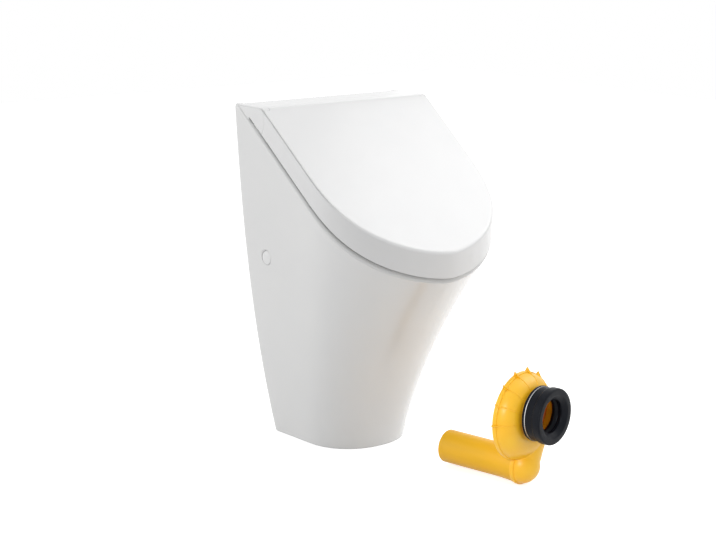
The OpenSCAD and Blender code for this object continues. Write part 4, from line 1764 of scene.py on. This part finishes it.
class Finishes:
    """Makes each material once and hands it out by the name of its slot."""

    BRUSHED = Pattern(60.0, 4.0, (1.0, 30.0, 30.0))
    RINGS = Pattern(30.0, 3.0, (1.0, 40.0, 1.0))
    BANDS = Pattern(42.0, 2.0, (1.0, 0.04, 1.0))
    FINE = Pattern(1500.0, 2.0)

    # Glazed china: clear coat, faint waves in the glaze and a trace of colour
    CHINA = Finish("china", (0.84, 0.84, 0.835), (0.825, 0.827, 0.825), Pattern(9.0, 2.0),
                   0.22, (0.215, 0.225), Pattern(40.0, 3.0),
                   ((Pattern(26.0, 1.0), 0.00006), (Pattern(900.0, 2.0), 0.000004)),
                   {"IOR": 1.5, "Coat Weight": 0.15, "Coat Roughness": 0.1})
    # The lid's glossy thermoset plastic, with a very fine moulded grain
    LID = Finish("lid_white", (0.84, 0.84, 0.84), (0.826, 0.828, 0.83), Pattern(14.0, 2.0),
                 0.22, (0.19, 0.27), Pattern(60.0, 3.0), ((Pattern(1400.0, 2.0), 0.000006),),
                 {"IOR": 1.52})
    # The caps' glossy plastic
    CAP = Finish("cap_white", (0.88, 0.88, 0.88), (0.86, 0.86, 0.865), Pattern(120.0, 2.0),
                 0.2, (0.16, 0.25), Pattern(300.0, 2.0), ((FINE, 0.000005),), {"IOR": 1.5})
    # Zinc-plated steel
    ZINC = ZincFinish("zinc_steel", (0.52, 0.54, 0.57), (0.66, 0.67, 0.68),
                      Pattern(420.0, 0.0), 0.34, (0.26, 0.44), Pattern(260.0, 4.0),
                      ((Pattern(800.0, 3.0), 0.00001),), {"Metallic": 1.0})
    # Stainless steel, brushed along the width
    STAINLESS = Finish("stainless", (0.62, 0.62, 0.63), (0.72, 0.72, 0.73), BRUSHED,
                       0.28, (0.22, 0.38), BRUSHED, ((BRUSHED, 0.00001),), {"Metallic": 1.0})
    # The buffers' light rubber
    SOFT_GREY = Finish("soft_grey", (0.5, 0.5, 0.5), (0.45, 0.45, 0.46), Pattern(300.0, 3.0),
                       0.62, (0.52, 0.72), Pattern(500.0, 3.0),
                       ((Pattern(1800.0, 2.0), 0.00002),))
    # The dampers' dark plastic
    DAMPER = Finish("damper_grey", (0.05, 0.05, 0.056), (0.07, 0.07, 0.075),
                    Pattern(200.0, 3.0), 0.45, (0.38, 0.55), Pattern(400.0, 3.0),
                    ((Pattern(2200.0, 2.0), 0.000015),))
    # The inlet's grey plastic, with faint rings from turning
    PIPE_GREY = Finish("pipe_grey", (0.56, 0.57, 0.57), (0.5, 0.51, 0.52), RINGS,
                       0.4, (0.33, 0.48), Pattern(300.0, 3.0), ((RINGS, 0.00003),))
    # Black rubber with a bluish sheen, dust in its pores and fine rings
    RUBBER = Finish("black_rubber", (0.005, 0.006, 0.0095), (0.0075, 0.009, 0.0125),
                    Pattern(70.0, 4.0), 0.38, (0.32, 0.46), Pattern(180.0, 4.0),
                    ((Pattern(26.0, 2.0, (0.3, 40.0, 0.3)), 0.00004),
                     (Pattern(2500.0, 2.0), 0.00001)),
                    {"IOR": 1.5, "Specular IOR Level": 0.1})
    # The trap's yellow plastic, with soft flow marks from moulding
    YELLOW = Finish("trap_yellow", (0.93, 0.53, 0.022), (0.91, 0.48, 0.012),
                    Pattern(28.0, 3.0), 0.36, (0.31, 0.44), Pattern(150.0, 3.0),
                    ((Pattern(34.0, 2.0), 0.00025), (FINE, 0.00001)), {"IOR": 1.5})
    # The cone inside the sleeve: the trap's yellow plastic painted darker and orange, as painted
    # shade and painted yellow bounce light from the shell around it
    PAINTED_SHADE_ORANGE = Finish("trap_orange", (0.82, 0.21, 0.006), (0.74, 0.175, 0.004),
                    Pattern(60.0, 3.0), 0.4, (0.34, 0.48), Pattern(220.0, 3.0),
                    ((Pattern(90.0, 2.0), 0.0001),),
                    {"IOR": 1.5, "Specular IOR Level": 0.3})
    # The outlet pipe's darker yellow, with soft drawn bands along it
    PIPE = Finish("trap_pipe", (0.84, 0.455, 0.01), (0.74, 0.4, 0.004), BANDS,
                  0.38, (0.32, 0.48), BANDS, ((BANDS, 0.0002), (FINE, 0.00001)),
                  {"IOR": 1.5, "Specular IOR Level": 0.35})
    FLOOR = FloorFinish("floor", (0.76, 0.76, 0.76), (0.755, 0.755, 0.755),
                        Pattern(2.0, 2.0), 0.7, (0.66, 0.74), Pattern(5.0, 2.0))
    ALL = (CHINA, LID, CAP, ZINC, STAINLESS, SOFT_GREY, DAMPER, PIPE_GREY, RUBBER, YELLOW,
           PAINTED_SHADE_ORANGE, PIPE, FLOOR)

    def __init__(self) -> None:
        """Makes all materials."""
        self.made = {finish.name: finish.make().material for finish in self.ALL}

    def dress(self, obj: bpy.types.Object, slot: str) -> None:
        """Gives an object the material of a slot.

        Args:
            obj: The object.
            slot: Name of the slot.
        """
        obj.data.materials.clear()
        obj.data.materials.append(self.made[slot])


def hang(data: bpy.types.Light, at: Point, aim: Point) -> None:
    """Puts a light in the scene and points it.

    Args:
        data: The light.
        at: Its place.
        aim: The point that it shines at.
    """
    obj = link(data.name, data)
    obj.location = at
    run = Vector(aim) - Vector(at)
    obj.rotation_euler = run.to_track_quat("-Z", "Y").to_euler()


@dataclass(frozen=True)
class Softbox:
    """A soft studio light."""

    name: str
    at: Point
    aim: Point
    size: Flat
    power: float

    def make(self) -> None:
        """Adds the light to the scene."""
        data = bpy.data.lights.new(self.name, "AREA")
        data.shape = "RECTANGLE"
        data.size, data.size_y = self.size
        data.energy = self.power
        hang(data, self.at, self.aim)


@dataclass(frozen=True)
class Beam:
    """A soft round light on one small thing."""

    name: str
    at: Point
    aim: Point
    degrees: float
    power: float

    def make(self) -> None:
        """Adds the light to the scene."""
        data = bpy.data.lights.new(self.name, "SPOT")
        data.spot_size = math.radians(self.degrees)
        data.spot_blend = 0.6
        data.shadow_soft_size = 0.12
        data.energy = self.power
        hang(data, self.at, self.aim)


@dataclass(frozen=True)
class View:
    """The camera fitted to the photograph, in degrees, metres, pixels and film millimetres."""

    around: float = 39.933
    above: float = 12.535
    roll: float = 0.683
    aim: Point = (0.0, -0.13, 0.27)
    away: float = 2.7316
    width: int = 716
    height: int = 540
    focal: float = 1759.31
    middle: Flat = (369.204, 273.312)
    film: float = 36.0

    def turned(self) -> tuple[Vector, Vector, Vector]:
        """Gives the camera's directions to its right, its top and its back."""
        az, el, roll = (math.radians(v) for v in (self.around, self.above, self.roll))
        back = Vector((-math.sin(az) * math.cos(el), -math.cos(az) * math.cos(el),
                       math.sin(el)))
        right = (-back).cross(Vector((0, 0, 1))).normalized()
        up = right.cross(-back)
        return (right * math.cos(roll) + up * math.sin(roll),
                up * math.cos(roll) - right * math.sin(roll), back)

    def make(self) -> None:
        """Adds the camera to the scene."""
        right, up, back = self.turned()
        place = Matrix((right, up, back)).transposed().to_4x4()
        place.translation = Vector(self.aim) + back * self.away
        data = bpy.data.cameras.new("camera")
        data.sensor_width = self.film
        data.lens = self.focal / self.width * self.film
        data.shift_x = -(self.middle[0] - self.width / 2) / self.width
        data.shift_y = (self.middle[1] - self.height / 2) / self.width
        data.clip_end = 50.0
        obj = link("camera", data)
        obj.matrix_world = place
        bpy.context.scene.camera = obj


@dataclass
class Studio:
    """The floor, the white surroundings, the lights and the camera."""

    finishes: Finishes
    view: View = View()
    ambient: float = 0.557
    lights: list[Softbox | Beam] = field(default_factory=lambda: [
        Softbox("overhead", (0.2, -0.5, 2.6), (0.0, -0.2, 0.3), (2.4, 2.4), 9.1),
        Softbox("upper_right", (1.8, -0.8, 1.9), (0.0, -0.2, 0.4), (1.6, 1.6), 23.9),
        Softbox("left_rear", (-1.9, 1.3, 0.9), (0.0, -0.1, 0.3), (1.6, 1.8), 12.4),
        Softbox("right_rear", (1.9, 0.9, 1.0), (0.0, -0.1, 0.4), (1.6, 1.8), 3.5),
        Beam("on_the_trap", (-1.2, -1.1, 0.75), (0.045, -0.44, 0.07), 13.0, 40.0),
    ])

    def floor(self) -> None:
        """Adds the pale floor at the height of the flat base."""
        sheet = bmesh.new()
        bmesh.ops.create_grid(sheet, x_segments=40, y_segments=40, size=4.0)
        bmesh.ops.translate(sheet, verts=sheet.verts, vec=(0, 0, -0.0002))
        mesh = bpy.data.meshes.new("floor")
        sheet.to_mesh(mesh)
        sheet.free()
        obj = link("floor", mesh)
        self.finishes.dress(obj, "floor")

    def surroundings(self) -> None:
        """Makes a white background for the camera and an even, weaker light for the rest."""
        world = bpy.data.worlds.new("studio")
        world.use_nodes = True
        world.node_tree.nodes.clear()
        nodes = Nodes(world.node_tree)
        strength = nodes.value("ShaderNodeMapRange", "Result",
                               {"Value": nodes.looked_at(), "To Min": self.ambient,
                                "To Max": 1.0})
        light = nodes.value("ShaderNodeBackground", 0,
                            {"Color": (1, 1, 1, 1), "Strength": strength})
        nodes.node("ShaderNodeOutputWorld", {"Surface": light})
        bpy.context.scene.world = world

    def make(self) -> None:
        """Sets the whole studio up."""
        self.floor()
        self.surroundings()
        for light in self.lights:
            light.make()
        self.view.make()
        bpy.context.scene.view_settings.view_transform = "Standard"


@dataclass(frozen=True)
class Piece:
    """How one built piece takes its place in the frame."""

    make: Callable[[], bpy.types.Object]
    body: str
    slot: str
    nodes: Iterable[str]


class Scene:
    """Puts the pieces, the materials and the studio together."""

    def __init__(self, frame: dict) -> None:
        """Keeps the loaded frame.
        """
        self.frame = frame
        self.finishes = Finishes()

    def pieces(self) -> list[Piece]:
        """Lists the pieces that are built here.

        Returns:
            The pieces with the nodes that they stand for.
        """
        urinal = Urinal(Sizes())
        trap = Trap(TrapSizes())
        return [
            Piece(urinal.china, "urinal", "china", ["ceramic_bowl"]),
            Piece(urinal.lid, "lid", "lid_white", ["lid"]),
            Piece(lambda: urinal.cover(-1, "cover_left"), "urinal", "lid_white",
                  ["hinge_cover_left"]),
            Piece(lambda: urinal.cover(1, "cover_right"), "urinal", "lid_white",
                  ["hinge_cover_right"]),
            Piece(urinal.side_caps, "urinal", "cap_white", ["side_cover_caps"]),
            Piece(lambda: trap.shell("front_shell", True), "urinal", "trap_yellow",
                  ["trap_front_shell"]),
            Piece(lambda: trap.shell("rear_shell", False), "urinal", "trap_yellow",
                  ["trap_rear_shell"]),
            Piece(trap.sleeve, "urinal", "black_rubber", ["trap_inlet_sleeve"]),
            Piece(trap.pipe, "urinal", "trap_pipe", ["trap_outlet_pipe"]),
        ]

    def dress_nodes(self) -> None:
        """Gives every node that keeps its CAD shape the material of its slot."""
        rows = self.frame["record"].get("subparts") or []
        slots = {row["node"]: row["material_slot"] for row in rows}
        for name, obj in self.frame["nodes"].items():
            slot = slots.get(name)
            if slot is None:
                LOG.warning("%s has no slot", name)
                continue
            self.finishes.dress(obj, slot)

    def make(self) -> None:
        """Builds everything."""
        self.dress_nodes()
        for piece in self.pieces():
            obj = piece.make()
            self.finishes.dress(obj, piece.slot)
            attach(obj, piece.body)
            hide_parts(*piece.nodes)
        Studio(self.finishes).make()


def main() -> None:
    """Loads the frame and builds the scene."""
    logging.basicConfig(level=logging.INFO, format="%(name)s: %(message)s")
    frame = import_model()
    Scene(frame).make()


if __name__ == "__main__":
    main()
